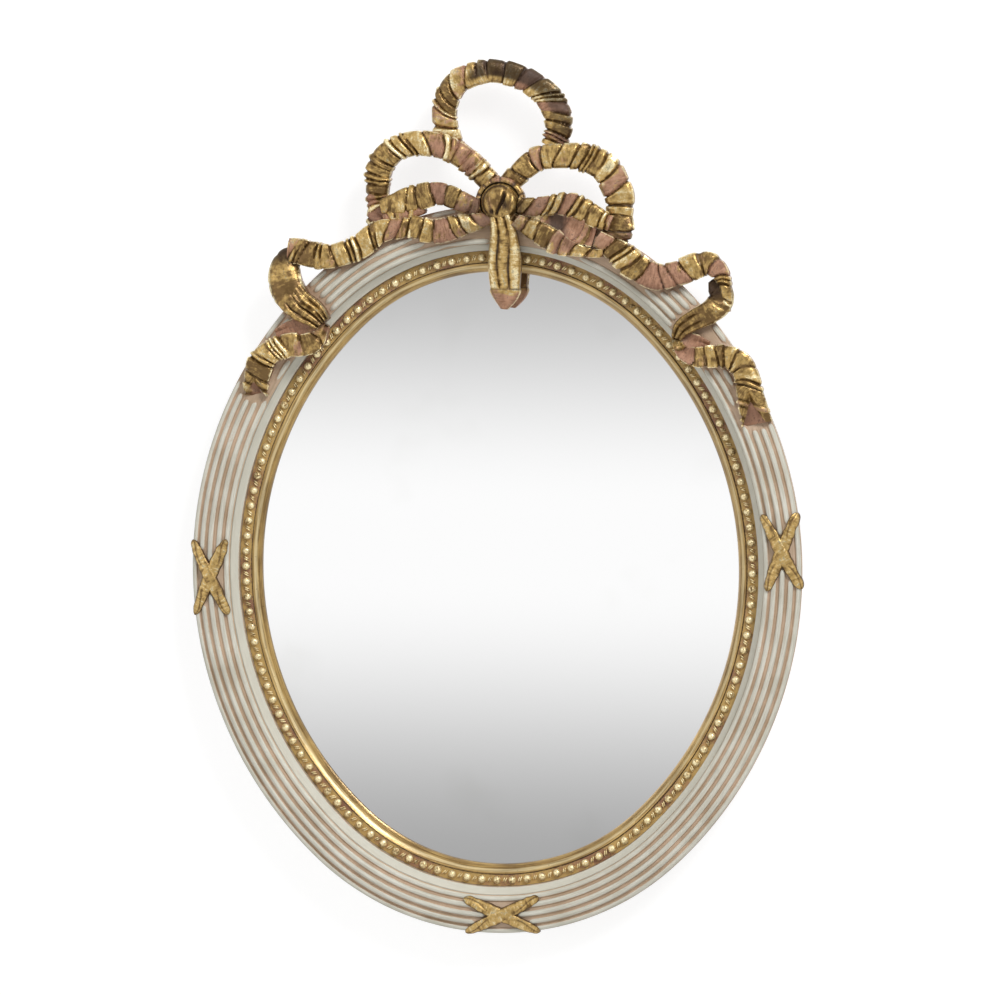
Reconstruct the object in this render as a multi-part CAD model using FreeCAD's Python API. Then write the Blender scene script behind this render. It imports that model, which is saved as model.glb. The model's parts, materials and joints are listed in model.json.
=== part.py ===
import FreeCAD, Part
import math
import os

os.makedirs("parts", exist_ok=True)

V = FreeCAD.Vector
ORIGIN = V(0, 0, 0)
FRONT = V(0, -1, 0)

# Sight opening: an oval of four tangent arcs, centred below the hanger
SIGHT_HALF_WIDTH = 194.0
SIGHT_HALF_HEIGHT = 238.5
JOINT_ANGLE = 46.8

# Depths are heights h above the plane of the frame's back
WALL_GAP = 5.0
BOARD_THICKNESS = 4.0
GLASS_THICKNESS = 4.0
GLASS_OVERLAP = 7.0
REBATE_CLEARANCE = 1.0

# Moulding section, with d measured outwards from the sight edge
MOULDING_WIDTH = 53.0
FOOT_INSET = 3.0
FOOT_CHAMFER = 2.0
LINER_WIDTH = 17.2
LINER_CLEARANCE = 0.15
LIP_EDGE = 2.0
LIP_WIDTH = 6.9
LIP_RISE = 9.5
LIP_BULGE = 1.2
BED_DEPTH = 8.2
COVE_FOOT = 21.5
COVE_DEPTH = 0.9
REED_COUNT = 5
REED_START = 22.5
REED_SHOULDER = 30.0
REED_CAMBER = 5.0
REED_RISE = 2.4
GROOVE_WIDTH = 1.5

# Beads on the bed of the liner
BEAD_COUNT = 116
BEAD_RADIUS = 3.4
BEAD_LIFT = 1.0

# Dowel joints between the frame segments
DOWEL_RADIUS = 4.0
DOWEL_LENGTH = 40.0
DOWEL_SEATS = (28.0, 42.0)
DOWEL_HEIGHT = 10.0
GLUE_LINE = 0.05

# Crossed ties over the reeds, placed by their angle about the arc's centre
CROSS_LENGTH = 70.0
CROSS_WIDTH = 9.6
CROSS_THICKNESS = 2.6
CROSS_LEAN = 25.0
CROSS_SPAN = 26.0
CROSS_ANGLES = {"cross_left": 181.5, "cross_right": 3.6, "cross_bottom": 272.0}

# Crest, placed by angle about the oval's arcs and d from the sight edge: the back layer of loops ends
# where the front layer of ribbons begins
LOOP_BACK = 22.0
TOP_LOOP_BACK = 17.0
TOP_LOOP_FRONT = 31.0
TAIL_BACK = 31.0
PENDANT_CLEARANCE = 0.9
RIBBON_CHAMFER = 1.6
RIBBON_STEPS = 2
KNOT_CENTRE = (88.3, 55.5)
KNOT_RADIUS = 16.0
KNOT_RISE = 15.0
KNOT_BULGE = 2.0
KNOT_SHOULDER = 7.0
KNOT_ROLL = 1.5
BLOCK_CENTRE = 2.5
BLOCK_WIDTH = 28.0
BLOCK_SEAT = 45.5
BLOCK_HEIGHT = 28.0
BLOCK_DOWEL_SPACING = 16.0
BLOCK_DOWEL_HEIGHT = 9.0
BLOCK_DOWEL_RADIUS = 3.0
BLOCK_DOWEL_LENGTH = 26.0
PEG_RADIUS = 2.5
PEG_DEPTH = 11.0
PEG_LENGTH = 16.0

# Turn buttons on the back of the frame
BUTTON_ANGLES = (0.0, 60.0, 120.0, 180.0, 240.0, 300.0)
BUTTON_SEAT = 22.0
BUTTON_REACH = 20.0
BUTTON_HALF_WIDTH = 6.0
BUTTON_THICKNESS = 1.5
SCREW_RADIUS = 1.6
SCREW_LENGTH = 14.0
SCREW_HEAD_RADIUS = 3.2
SCREW_HEAD_HEIGHT = 1.7
SCREW_CLEARANCE = 0.08

# Hanger with its D ring
HANGER_SEAT = 46.0
HANGER_WIDTH = 12.0
HANGER_HEIGHT = 17.5
HANGER_THICKNESS = 1.2
HANGER_SCREWS = (6.4, 13.2)
RING_WIRE_RADIUS = 1.25
RING_CLEARANCE = 0.08
KNUCKLE_WALL = 0.7
RING_BAR_HALF = 8.0
RING_CORNER = 3.0
RING_LEG = 10.0

# Felt pads at the bottom of the back
PAD_ANGLES = {"wall_pad_left": 254.0, "wall_pad_right": 286.0}
PAD_SEAT = 30.0
PAD_RADIUS = 9.0

# Loops of the back layer: stations of angle, d and width along each centreline
TOP_LOOP = [
    (97.3, 99.5, 21), (98.2, 113.5, 22), (98.2, 128.5, 22), (97.4, 141.0, 22), (95.9, 151.0, 22),
    (93.4, 157.0, 22), (90.7, 159.5, 21), (87.8, 157.5, 22), (85.0, 152.5, 22), (82.2, 143.5, 24),
    (80.4, 132.5, 25), (79.5, 119.0, 24), (79.9, 103.5, 22),
]
LEFT_UPPER_LOOP = [
    (89.2, 65.5, 19), (91.7, 75.5, 20), (94.2, 87.0, 22), (96.7, 96.5, 22), (99.4, 104.0, 22),
    (102.2, 108.5, 22), (105.4, 110.5, 22), (108.3, 108.0, 23), (110.7, 100.5, 24), (112.2, 89.0, 22),
    (113.3, 78.0, 20), (113.9, 67.0, 19),
]
RIGHT_UPPER_LOOP = [
    (88.0, 65.5, 18), (85.9, 76.0, 19), (83.7, 86.0, 21), (81.8, 93.0, 22), (79.2, 97.0, 22),
    (76.6, 99.5, 22), (74.0, 101.5, 25), (71.5, 101.0, 26), (69.1, 97.5, 26), (67.2, 90.0, 26),
    (65.4, 82.5, 26), (64.4, 73.5, 24), (63.4, 65.5, 21),
]

# Ribbons of the front layer: stations of angle, d, width and rise above the crowns of the reeds
LEFT_MIDDLE_BAND = [
    (92.7, 52.5, 14, 11), (95.3, 55.5, 18, 11), (98.0, 61.5, 20, 11), (101.2, 67.0, 21, 10),
    (104.5, 67.5, 23, 9), (107.4, 68.0, 23, 9), (110.2, 68.5, 19, 8), (113.0, 70.0, 14, 7),
]
RIGHT_MIDDLE_BAND = [
    (84.4, 54.5, 16, 11), (80.9, 55.0, 17, 11), (77.3, 59.0, 18, 10), (74.1, 63.0, 21, 10),
    (71.1, 62.5, 22, 10), (67.7, 61.0, 19, 9), (64.5, 61.0, 14, 9),
]
LEFT_LOWER_BAND = [
    (89.4, 45.5, 12, 10), (92.3, 41.5, 14, 11), (95.5, 39.5, 18, 12), (99.3, 38.0, 22, 12),
    (102.9, 37.5, 22, 12), (106.1, 42.5, 21, 11), (108.4, 49.0, 18, 10),
]
RIGHT_LOWER_BAND = [
    (86.9, 46.0, 11, 10), (84.0, 41.5, 13, 11), (80.7, 38.0, 18, 12), (77.6, 35.0, 21, 12),
    (73.9, 31.0, 21, 12), (70.4, 30.5, 14, 11), (66.4, 32.5, 9, 10), (63.1, 37.0, 7, 9),
]
PENDANT = [
    (88.1, 46.5, 22, 10), (87.3, 35.0, 24, 10), (87.0, 19.0, 28, 4), (87.1, 5.0, 31, -1),
    (86.8, -8.0, 30, -3), (86.6, -19.0, 23, -4), (86.8, -29.0, 7, -6),
]
LEFT_TAIL_UPPER = [
    (107.0, 45.5, 15, 8), (109.7, 47.5, 18, 9), (112.6, 50.5, 19, 9), (115.7, 52.5, 21, 9),
    (120.0, 49.5, 22, 10), (123.9, 51.5, 21, 11), (127.2, 56.5, 22, 11), (129.7, 65.5, 23, 11),
    (131.5, 75.5, 23, 10), (132.9, 82.5, 21, 9),
]
LEFT_TAIL_CURL = [
    (133.6, 77.5, 22, 6), (135.6, 71.0, 27, 8), (136.9, 59.0, 29, 10), (137.2, 44.0, 29, 11),
    (136.8, 32.0, 24, 11), (136.9, 21.0, 16, 10),
]
LEFT_TAIL_END = [
    (136.8, 20.0, 9, 5), (138.1, 17.0, 11, 7), (139.7, 16.5, 18, 9), (141.4, 21.0, 20, 10),
    (142.7, 29.5, 21, 11), (144.4, 36.5, 21, 11), (146.4, 41.5, 22, 11), (148.3, 41.0, 24, 10),
    (150.4, 38.0, 23, 10), (152.5, 33.0, 22, 9),
]
RIGHT_TAIL_UPPER = [
    (65.9, 45.5, 14, 9), (62.6, 44.5, 18, 10), (58.8, 43.0, 25, 11), (53.6, 42.0, 24, 11),
    (49.8, 46.0, 24, 11), (47.7, 55.5, 22, 11), (46.5, 64.5, 23, 11), (45.9, 73.5, 23, 11),
    (44.8, 81.5, 21, 11), (43.2, 83.0, 16, 10), (41.7, 80.0, 12, 9), (40.1, 74.0, 9, 7),
    (38.7, 66.5, 7, 6),
]
RIGHT_TAIL_CURL = [
    (42.2, 69.0, 13, 5), (40.6, 64.0, 18, 6), (40.1, 53.5, 19, 8), (40.5, 43.5, 19, 10),
    (40.7, 32.5, 17, 10), (40.2, 24.0, 12, 9),
]
RIGHT_TAIL_END = [
    (40.6, 24.5, 9, 5), (39.3, 20.0, 10, 7), (37.4, 20.5, 14, 9), (36.2, 25.5, 18, 10),
    (35.2, 33.0, 19, 11), (34.3, 41.0, 20, 11), (32.9, 49.0, 21, 11), (31.2, 52.5, 22, 11),
    (29.3, 51.0, 22, 10), (27.4, 47.5, 24, 10), (25.2, 44.5, 26, 10), (22.8, 42.0, 28, 9),
]
LEFT_NOTCH = ((151.0, 36.0), (153.9, 37.0), (152.5, 25.0))
RIGHT_NOTCH = ((26.8, 44.5), (22.7, 30.0), (21.4, 47.5))
PEGS = {
    "left_lower_band": (101.1, 37.0),
    "left_tail_upper": (120.6, 44.0),
    "left_tail_curl": (137.2, 44.0),
    "left_tail_end": (146.4, 41.5),
    "right_lower_band": (77.6, 35.0),
    "right_tail_upper": (53.6, 42.0),
    "right_tail_curl": (40.5, 43.5),
    "right_tail_end": (33.2, 45.0),
    "pendant": (87.2, 30.0),
    "knot": (88.0, 44.5),
}

# Sizes that follow
JOINT_LEAN = math.radians(JOINT_ANGLE)
SIDE_CENTRE = (SIGHT_HALF_HEIGHT - SIGHT_HALF_WIDTH) / (1 + math.tan(JOINT_LEAN) - 1 / math.cos(JOINT_LEAN))
END_CENTRE = SIDE_CENTRE * math.tan(JOINT_LEAN)
SIDE_RADIUS = SIGHT_HALF_WIDTH + SIDE_CENTRE
END_RADIUS = SIGHT_HALF_HEIGHT - END_CENTRE
REED_HALF_BAND = (MOULDING_WIDTH - REED_START) / 2
REED_ARC_RADIUS = (REED_HALF_BAND ** 2 + REED_CAMBER ** 2) / (2 * REED_CAMBER)
REED_ARC_CENTRE = (REED_START + REED_HALF_BAND, REED_SHOULDER + REED_CAMBER - REED_ARC_RADIUS)
REBATE_DEPTH = BOARD_THICKNESS + GLASS_THICKNESS
REBATE_WIDTH = GLASS_OVERLAP + REBATE_CLEARANCE
BED_HEIGHT = REBATE_DEPTH + BED_DEPTH
CROWN_RADIUS = REED_ARC_RADIUS + REED_RISE
LAYER = REED_ARC_CENTRE[1] + CROWN_RADIUS
PENDANT_BACK = BED_HEIGHT + BEAD_LIFT + BEAD_RADIUS + PENDANT_CLEARANCE
HANGER_HEIGHT_ON_OVAL = SIGHT_HALF_HEIGHT + HANGER_SEAT
KNUCKLE_BORE = RING_WIRE_RADIUS + RING_CLEARANCE
KNUCKLE_RADIUS = KNUCKLE_BORE + KNUCKLE_WALL

# Arcs of the oval: centre x, centre z, radius, first and last angle from +X towards +Z
ARCS = {
    "frame_right": (-SIDE_CENTRE, 0.0, SIDE_RADIUS, -JOINT_ANGLE, JOINT_ANGLE),
    "frame_top": (0.0, END_CENTRE, END_RADIUS, JOINT_ANGLE, 180.0 - JOINT_ANGLE),
    "frame_left": (SIDE_CENTRE, 0.0, SIDE_RADIUS, 180.0 - JOINT_ANGLE, 180.0 + JOINT_ANGLE),
    "frame_bottom": (0.0, -END_CENTRE, END_RADIUS, 180.0 + JOINT_ANGLE, 360.0 - JOINT_ANGLE),
}

nodes = {}


def at(x, h, z):
    """Point at x and z from the oval's centre and height h above the frame's back."""
    return V(x, -WALL_GAP - h, z - HANGER_HEIGHT_ON_OVAL)


def heading(angle):
    """Unit vector in the frame's plane, at an angle from +X towards +Z."""
    return V(math.cos(math.radians(angle)), 0, math.sin(math.radians(angle)))


def oval_point(angle, offset):
    """x and z on the oval at an offset from the sight edge, for an angle about the arc's own centre."""
    for cx, cz, radius, first, last in ARCS.values():
        for turned in (angle, angle - 360.0):
            if first <= turned <= last:
                reach = heading(turned) * (radius + offset)
                return cx + reach.x, cz + reach.z
    raise ValueError("angle outside the oval")


def oval_at(angle, offset, h):
    """Point at an angle and offset on the oval and height h above the frame's back."""
    x, z = oval_point(angle, offset)
    return at(x, h, z)


def oval_stations(count, offset):
    """Angles about the arcs' centres of points spaced evenly along the oval at an offset."""
    lengths = [math.radians(last - first) * (radius + offset) for _, _, radius, first, last in ARCS.values()]
    step = sum(lengths) / count
    angles = []
    for number in range(count):
        run = (number + 0.5) * step
        for length, (_, _, radius, first, _) in zip(lengths, ARCS.values()):
            if run <= length:
                angles.append(first + math.degrees(run / (radius + offset)))
                break
            run -= length
    return angles


def section_face(start, moves):
    """Closed section of (d, h) points: a move of one point is a line, of two an arc, and the last returns."""
    edges = []
    here = start
    for move in moves:
        points = [V(d, -WALL_GAP - h, 0) for d, h in (here, *move)]
        edges.append(Part.makeLine(*points) if len(points) == 2 else Part.Arc(*points).toShape())
        here = move[-1]
    return Part.Face(Part.Wire(edges))


def swept(face, cx, cz, radius, first, last):
    """Section swept round one arc of the oval."""
    section = face.copy()
    section.translate(V(radius, 0, 0))
    solid = section.revolve(ORIGIN, FRONT, last - first)
    solid.rotate(ORIGIN, FRONT, first)
    solid.translate(V(cx, 0, cz - HANGER_HEIGHT_ON_OVAL))
    return solid


def oval_plate(offset, low, high):
    """Flat oval plate between two heights."""
    edges = []
    for cx, cz, radius, first, last in ARCS.values():
        points = []
        for angle in (first, (first + last) / 2, last):
            reach = heading(angle) * (radius + offset)
            points.append(at(cx + reach.x, low, cz + reach.z))
        edges.append(Part.Arc(*points).toShape())
    return Part.Face(Part.Wire(edges)).extrude(FRONT * (high - low))


def arc_point(radius, angle):
    """(d, h) point about the centre of the reeded arc."""
    return (
        REED_ARC_CENTRE[0] + radius * math.cos(math.radians(angle)),
        REED_ARC_CENTRE[1] + radius * math.sin(math.radians(angle)),
    )


def arc_angle(d):
    """Angle on the reeded arc's floor for a distance d from the sight edge."""
    return math.degrees(math.acos((d - REED_ARC_CENTRE[0]) / REED_ARC_RADIUS))


def bow(start, end, rise):
    """Middle point of an arc between two points that rises to the left of the line from start to end."""
    run_d = end[0] - start[0]
    run_h = end[1] - start[1]
    share = rise / math.hypot(run_d, run_h)
    return ((start[0] + end[0]) / 2 - run_h * share, (start[1] + end[1]) / 2 + run_d * share)


def moulding_face():
    """Reeded moulding: rebate, ledge for the liner, cove, reeds and outer side."""
    first = arc_angle(REED_START)
    last = arc_angle(MOULDING_WIDTH)
    pitch = (first - last) / REED_COUNT
    half_gap = math.degrees(GROOVE_WIDTH / 2 / REED_ARC_RADIUS)
    cove_foot = (LINER_WIDTH, COVE_FOOT)
    cove_head = arc_point(REED_ARC_RADIUS, first)
    moves = [
        [(REBATE_WIDTH, REBATE_DEPTH)],
        [(LINER_WIDTH, REBATE_DEPTH)],
        [cove_foot],
        [bow(cove_foot, cove_head, -COVE_DEPTH), cove_head],
    ]
    for reed in range(REED_COUNT):
        left = first - reed * pitch - half_gap
        right = first - (reed + 1) * pitch + (half_gap if reed < REED_COUNT - 1 else 0.0)
        moves.append([arc_point(REED_ARC_RADIUS, left)])
        crown = arc_point(CROWN_RADIUS, (left + right) / 2)
        moves.append([crown, arc_point(REED_ARC_RADIUS, right)])
    moves.append([(MOULDING_WIDTH - FOOT_INSET, FOOT_CHAMFER)])
    moves.append([(MOULDING_WIDTH - FOOT_INSET - FOOT_CHAMFER, 0.0)])
    moves.append([(REBATE_WIDTH, 0.0)])
    return section_face((REBATE_WIDTH, 0.0), moves)


def liner_face():
    """Gilt slip: rounded lip at the sight edge and the flat bed for the beads."""
    outer = LINER_WIDTH - LINER_CLEARANCE
    edge = (0.0, REBATE_DEPTH + LIP_EDGE)
    top = (LIP_WIDTH, REBATE_DEPTH + LIP_RISE)
    return section_face(
        (0.0, REBATE_DEPTH),
        [
            [edge],
            [bow(edge, top, LIP_BULGE), top],
            [(LIP_WIDTH + (LIP_RISE - BED_DEPTH) / 2, BED_HEIGHT)],
            [(outer, BED_HEIGHT)],
            [(outer, REBATE_DEPTH)],
            [(0.0, REBATE_DEPTH)],
        ],
    )


def largest(shape):
    """The largest solid of a shape."""
    return max(shape.Solids, key=lambda solid: solid.Volume)


def trim(name, *fronts):
    """Fit a carved piece against the pieces that lie in front of it."""
    for front in fronts:
        nodes[name] = largest(nodes[name].cut(nodes[front]))


def bore(tool, *names):
    """Drill the same hole through every named piece that it meets."""
    for name in names:
        if nodes[name].BoundBox.intersect(tool.BoundBox):
            nodes[name] = nodes[name].cut(tool)


def glued_hole(radius, length, foot, along):
    """Hole for a dowel or peg, a glue line larger all round."""
    return Part.makeCylinder(radius + GLUE_LINE, length + 2 * GLUE_LINE, foot - along * GLUE_LINE, along)


def ribbon(stations, back):
    """Carved ribbon lofted through chamfered sections square to its centreline, with a flat back."""
    centres = [oval_at(angle, offset, 0.0) for angle, offset, _, _ in stations]
    curve = Part.BSplineCurve()
    curve.interpolate(centres)
    places = [curve.parameter(centre) for centre in centres]
    last = len(stations) - 1
    wires = []
    for number in range(last * RIBBON_STEPS + 1):
        low, step = divmod(number, RIBBON_STEPS)
        high = min(low + 1, last)
        before = (places[low], *stations[low][2:])
        after = (places[high], *stations[high][2:])
        place, width, front = (a + (b - a) * step / RIBBON_STEPS for a, b in zip(before, after))
        across = FRONT.cross(curve.tangent(place)[0]).normalize()
        half = width / 2
        outline = [
            (-half, back), (half, back), (half, front - RIBBON_CHAMFER), (half - RIBBON_CHAMFER, front),
            (RIBBON_CHAMFER - half, front), (-half, front - RIBBON_CHAMFER),
        ]
        points = [curve.value(place) + across * u + FRONT * h for u, h in outline]
        wires.append(Part.makePolygon(points + points[:1]))
    return Part.makeLoft(wires, True, True).removeSplitter()


def back_ribbon(stations, back, front):
    """Ribbon of the back layer, with a level front."""
    return ribbon([(*place, width, front) for *place, width in stations], back)


def front_ribbon(stations, back):
    """Ribbon of the front layer, rising above the crowns of the reeds."""
    return ribbon([(*place, width, LAYER + rise) for *place, width, rise in stations], back)


def crown_face():
    """Body of the moulding under a line over its cove and an arc that touches the crowns of the reeds."""
    first = arc_point(CROWN_RADIUS, arc_angle(REED_START))
    last = arc_point(CROWN_RADIUS, arc_angle(MOULDING_WIDTH))
    foot = (LINER_WIDTH, 0.0)
    return section_face(
        foot,
        [
            [(LINER_WIDTH, COVE_FOOT)],
            [first],
            [(REED_ARC_CENTRE[0], LAYER), last],
            [(last[0], 0.0)],
            [foot],
        ],
    )


def notch(name, corners):
    """Cut the swallow-tail out of a ribbon's end."""
    points = [oval_at(*corner, 0.0) for corner in corners]
    prism = Part.Face(Part.makePolygon(points + points[:1])).extrude(FRONT * 2 * LAYER)
    nodes[name] = largest(nodes[name].cut(prism))


def screw(x, z, seat):
    """Dome-headed screw from the back, with its head on a seat at the given height."""
    shank = Part.makeCylinder(SCREW_RADIUS, SCREW_LENGTH, at(x, seat, z), FRONT)
    face_radius = (SCREW_HEAD_RADIUS ** 2 + SCREW_HEAD_HEIGHT ** 2) / (2 * SCREW_HEAD_HEIGHT)
    low = math.degrees(math.asin((face_radius - SCREW_HEAD_HEIGHT) / face_radius))
    middle = at(x, seat + face_radius - SCREW_HEAD_HEIGHT, z)
    head = Part.makeSphere(face_radius, middle, FRONT * -1, low, 90, 360)
    return shank.fuse(head).removeSplitter()


def screw_hole(x, z, seat):
    """Hole for a screw, with running clearance."""
    return Part.makeCylinder(SCREW_RADIUS + SCREW_CLEARANCE, SCREW_LENGTH + GLUE_LINE, at(x, seat, z), FRONT)


def build_frame():
    """Four frame segments with the dowels of their joints, the liner and its beads."""
    face = moulding_face()
    for name, arc in ARCS.items():
        nodes[name] = swept(face, *arc)
    liner = [swept(liner_face(), *arc) for arc in ARCS.values()]
    nodes["sight_liner"] = liner[0].multiFuse(liner[1:]).removeSplitter()
    dowels = []
    for cx, cz, radius, first, last in ARCS.values():
        along = heading(last + 90.0)
        for seat in DOWEL_SEATS:
            reach = heading(last) * (radius + seat)
            foot = at(cx + reach.x, DOWEL_HEIGHT, cz + reach.z) - along * (DOWEL_LENGTH / 2)
            dowels.append(Part.makeCylinder(DOWEL_RADIUS, DOWEL_LENGTH, foot, along))
            bore(glued_hole(DOWEL_RADIUS, DOWEL_LENGTH, foot, along), *ARCS)
    nodes["frame_dowels"] = Part.makeCompound(dowels)
    beads = []
    seat = (LIP_WIDTH + LINER_WIDTH) / 2
    low = math.degrees(math.asin(-BEAD_LIFT / BEAD_RADIUS))
    for angle in oval_stations(BEAD_COUNT, seat):
        x, z = oval_point(angle, seat)
        beads.append(Part.makeSphere(BEAD_RADIUS, at(x, BED_HEIGHT + BEAD_LIFT, z), FRONT, low, 90, 360))
    nodes["beads"] = Part.makeCompound(beads)


def build_crosses():
    """Crossed ties: a skin over the crowns of the reeds, cut to the two crossing straps."""
    outer = CROWN_RADIUS + CROSS_THICKNESS
    first = arc_angle(REED_START)
    last = arc_angle(MOULDING_WIDTH)
    skin = section_face(
        arc_point(CROWN_RADIUS, first),
        [
            [arc_point(outer, first)],
            [arc_point(outer, (first + last) / 2), arc_point(outer, last)],
            [arc_point(CROWN_RADIUS, last)],
            [arc_point(CROWN_RADIUS, (first + last) / 2), arc_point(CROWN_RADIUS, first)],
        ],
    )
    for name, angle in CROSS_ANGLES.items():
        cx, cz, radius, _, _ = ARCS[name.replace("cross", "frame")]
        shell = swept(skin, cx, cz, radius, angle - CROSS_SPAN / 2, angle + CROSS_SPAN / 2)
        x, z = oval_point(angle, (REED_START + MOULDING_WIDTH) / 2)
        straps = []
        for lean in (CROSS_LEAN, -CROSS_LEAN):
            strap = Part.makeBox(CROSS_LENGTH, 2 * LAYER, CROSS_WIDTH)
            strap.translate(V(-CROSS_LENGTH / 2, -2 * LAYER, -CROSS_WIDTH / 2))
            strap.rotate(ORIGIN, FRONT, angle + 90.0 + lean)
            strap.translate(at(x, 0.0, z))
            straps.append(strap)
        nodes[name] = largest(shell.common(straps[0].fuse(straps[1])))


def build_ribbons():
    """Bow, pendant and tails in two layers, fitted to one another and to the crowns of the reeds."""
    nodes["top_loop"] = back_ribbon(TOP_LOOP, TOP_LOOP_BACK, TOP_LOOP_FRONT)
    nodes["left_upper_loop"] = back_ribbon(LEFT_UPPER_LOOP, LOOP_BACK, LAYER)
    nodes["right_upper_loop"] = back_ribbon(RIGHT_UPPER_LOOP, LOOP_BACK, LAYER)
    nodes["left_middle_band"] = front_ribbon(LEFT_MIDDLE_BAND, LAYER)
    nodes["right_middle_band"] = front_ribbon(RIGHT_MIDDLE_BAND, LAYER)
    on_moulding = {
        "left_lower_band": LEFT_LOWER_BAND,
        "right_lower_band": RIGHT_LOWER_BAND,
        "pendant": PENDANT,
        "left_tail_upper": LEFT_TAIL_UPPER,
        "left_tail_curl": LEFT_TAIL_CURL,
        "left_tail_end": LEFT_TAIL_END,
        "right_tail_upper": RIGHT_TAIL_UPPER,
        "right_tail_curl": RIGHT_TAIL_CURL,
        "right_tail_end": RIGHT_TAIL_END,
    }
    crowns = [swept(crown_face(), *arc) for arc in ARCS.values()]
    for name, stations in on_moulding.items():
        nodes[name] = front_ribbon(stations, PENDANT_BACK if name == "pendant" else TAIL_BACK)
        for crown in crowns:
            nodes[name] = largest(nodes[name].cut(crown))
    notch("left_tail_end", LEFT_NOTCH)
    notch("right_tail_end", RIGHT_NOTCH)
    trim("right_upper_loop", "left_upper_loop")
    trim("top_loop", "left_upper_loop", "right_upper_loop")
    trim("left_lower_band", "knot")
    trim("right_lower_band", "knot")
    trim("left_middle_band", "knot", "left_lower_band")
    trim("right_middle_band", "knot", "right_lower_band")
    trim("pendant", "knot", "left_lower_band", "right_lower_band")
    trim("left_tail_upper", "left_lower_band", "left_middle_band")
    trim("right_tail_upper", "right_lower_band", "right_middle_band")
    trim("left_tail_curl", "left_tail_upper")
    trim("left_tail_end", "left_tail_curl")
    trim("right_tail_curl", "right_tail_upper")
    trim("right_tail_end", "right_tail_curl")


def build_knot():
    """Domed knot at the middle of the bow."""
    crown = (0.0, LAYER + KNOT_RISE)
    shoulder = (KNOT_RADIUS, LAYER + KNOT_SHOULDER)
    foot = (KNOT_RADIUS, LAYER)
    dome = section_face(
        (0.0, LAYER),
        [
            [crown],
            [bow(crown, shoulder, KNOT_BULGE), shoulder],
            [bow(shoulder, foot, KNOT_ROLL), foot],
            [(0.0, LAYER)],
        ],
    )
    nodes["knot"] = dome.revolve(ORIGIN, FRONT, 360)
    nodes["knot"].translate(oval_at(*KNOT_CENTRE, -WALL_GAP))


def build_fixings():
    """Block behind the knot with its dowels, and the pegs that hold the ribbons to the frame."""
    block = Part.makeBox(BLOCK_WIDTH, LOOP_BACK, BLOCK_HEIGHT)
    block.translate(at(BLOCK_CENTRE - BLOCK_WIDTH / 2, LOOP_BACK, SIGHT_HALF_HEIGHT + BLOCK_SEAT))
    nodes["crest_block"] = largest(block.cut(nodes["frame_top"]))
    upward = V(0, 0, 1)
    dowels = []
    for side in (-1, 1):
        x = BLOCK_CENTRE + side * BLOCK_DOWEL_SPACING / 2
        foot = at(x, BLOCK_DOWEL_HEIGHT, SIGHT_HALF_HEIGHT + MOULDING_WIDTH - BLOCK_DOWEL_LENGTH / 2)
        dowels.append(Part.makeCylinder(BLOCK_DOWEL_RADIUS, BLOCK_DOWEL_LENGTH, foot, upward))
        bore(glued_hole(BLOCK_DOWEL_RADIUS, BLOCK_DOWEL_LENGTH, foot, upward), "crest_block", "frame_top")
    nodes["crest_dowels"] = Part.makeCompound(dowels)
    pegs = []
    for place in PEGS.values():
        foot = oval_at(*place, LAYER - PEG_DEPTH)
        pegs.append(Part.makeCylinder(PEG_RADIUS, PEG_LENGTH, foot, FRONT))
        bore(glued_hole(PEG_RADIUS, PEG_LENGTH, foot, FRONT), *PEGS, *ARCS)
    nodes["crest_pegs"] = Part.makeCompound(pegs)


def build_glazing():
    """Mirror plate and backing board, held in the rebate by turn buttons."""
    nodes["mirror_glass"] = oval_plate(GLASS_OVERLAP, BOARD_THICKNESS, REBATE_DEPTH)
    nodes["backing_board"] = oval_plate(GLASS_OVERLAP, 0.0, BOARD_THICKNESS)
    screws = []
    for number, angle in enumerate(BUTTON_ANGLES, start=1):
        x, z = oval_point(angle, BUTTON_SEAT)
        pivot = at(x, -BUTTON_THICKNESS, z)
        inward = heading(angle + 180.0)
        across = heading(angle + 90.0) * BUTTON_HALF_WIDTH
        tip = pivot + inward * BUTTON_REACH
        outline = Part.Wire([
            Part.makeLine(pivot - across, tip - across),
            Part.Arc(tip - across, tip + inward * BUTTON_HALF_WIDTH, tip + across).toShape(),
            Part.makeLine(tip + across, pivot + across),
            Part.Arc(pivot + across, pivot - inward * BUTTON_HALF_WIDTH, pivot - across).toShape(),
        ])
        name = f"turn_button_{number}"
        nodes[name] = Part.Face(outline).extrude(FRONT * BUTTON_THICKNESS)
        screws.append(screw(x, z, -BUTTON_THICKNESS))
        bore(screw_hole(x, z, -BUTTON_THICKNESS), name, *ARCS)
    nodes["turn_button_screws"] = Part.makeCompound(screws)


def ring_path():
    """Closed centreline of the D ring, hanging down from its bar."""
    side = RING_BAR_HALF + RING_CORNER
    low = -RING_CORNER - RING_LEG
    turn = RING_CORNER * (1 - math.sqrt(0.5))
    points = {
        "bar_left": V(-RING_BAR_HALF, 0, 0), "bar_right": V(RING_BAR_HALF, 0, 0),
        "turn_right": V(side - turn, 0, -turn), "leg_right": V(side, 0, -RING_CORNER),
        "low_right": V(side, 0, low), "bottom": V(0, 0, low - side), "low_left": V(-side, 0, low),
        "leg_left": V(-side, 0, -RING_CORNER), "turn_left": V(turn - side, 0, -turn),
    }
    return Part.Wire([
        Part.makeLine(points["bar_left"], points["bar_right"]),
        Part.Arc(points["bar_right"], points["turn_right"], points["leg_right"]).toShape(),
        Part.makeLine(points["leg_right"], points["low_right"]),
        Part.Arc(points["low_right"], points["bottom"], points["low_left"]).toShape(),
        Part.makeLine(points["low_left"], points["leg_left"]),
        Part.Arc(points["leg_left"], points["turn_left"], points["bar_left"]).toShape(),
    ])


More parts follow.
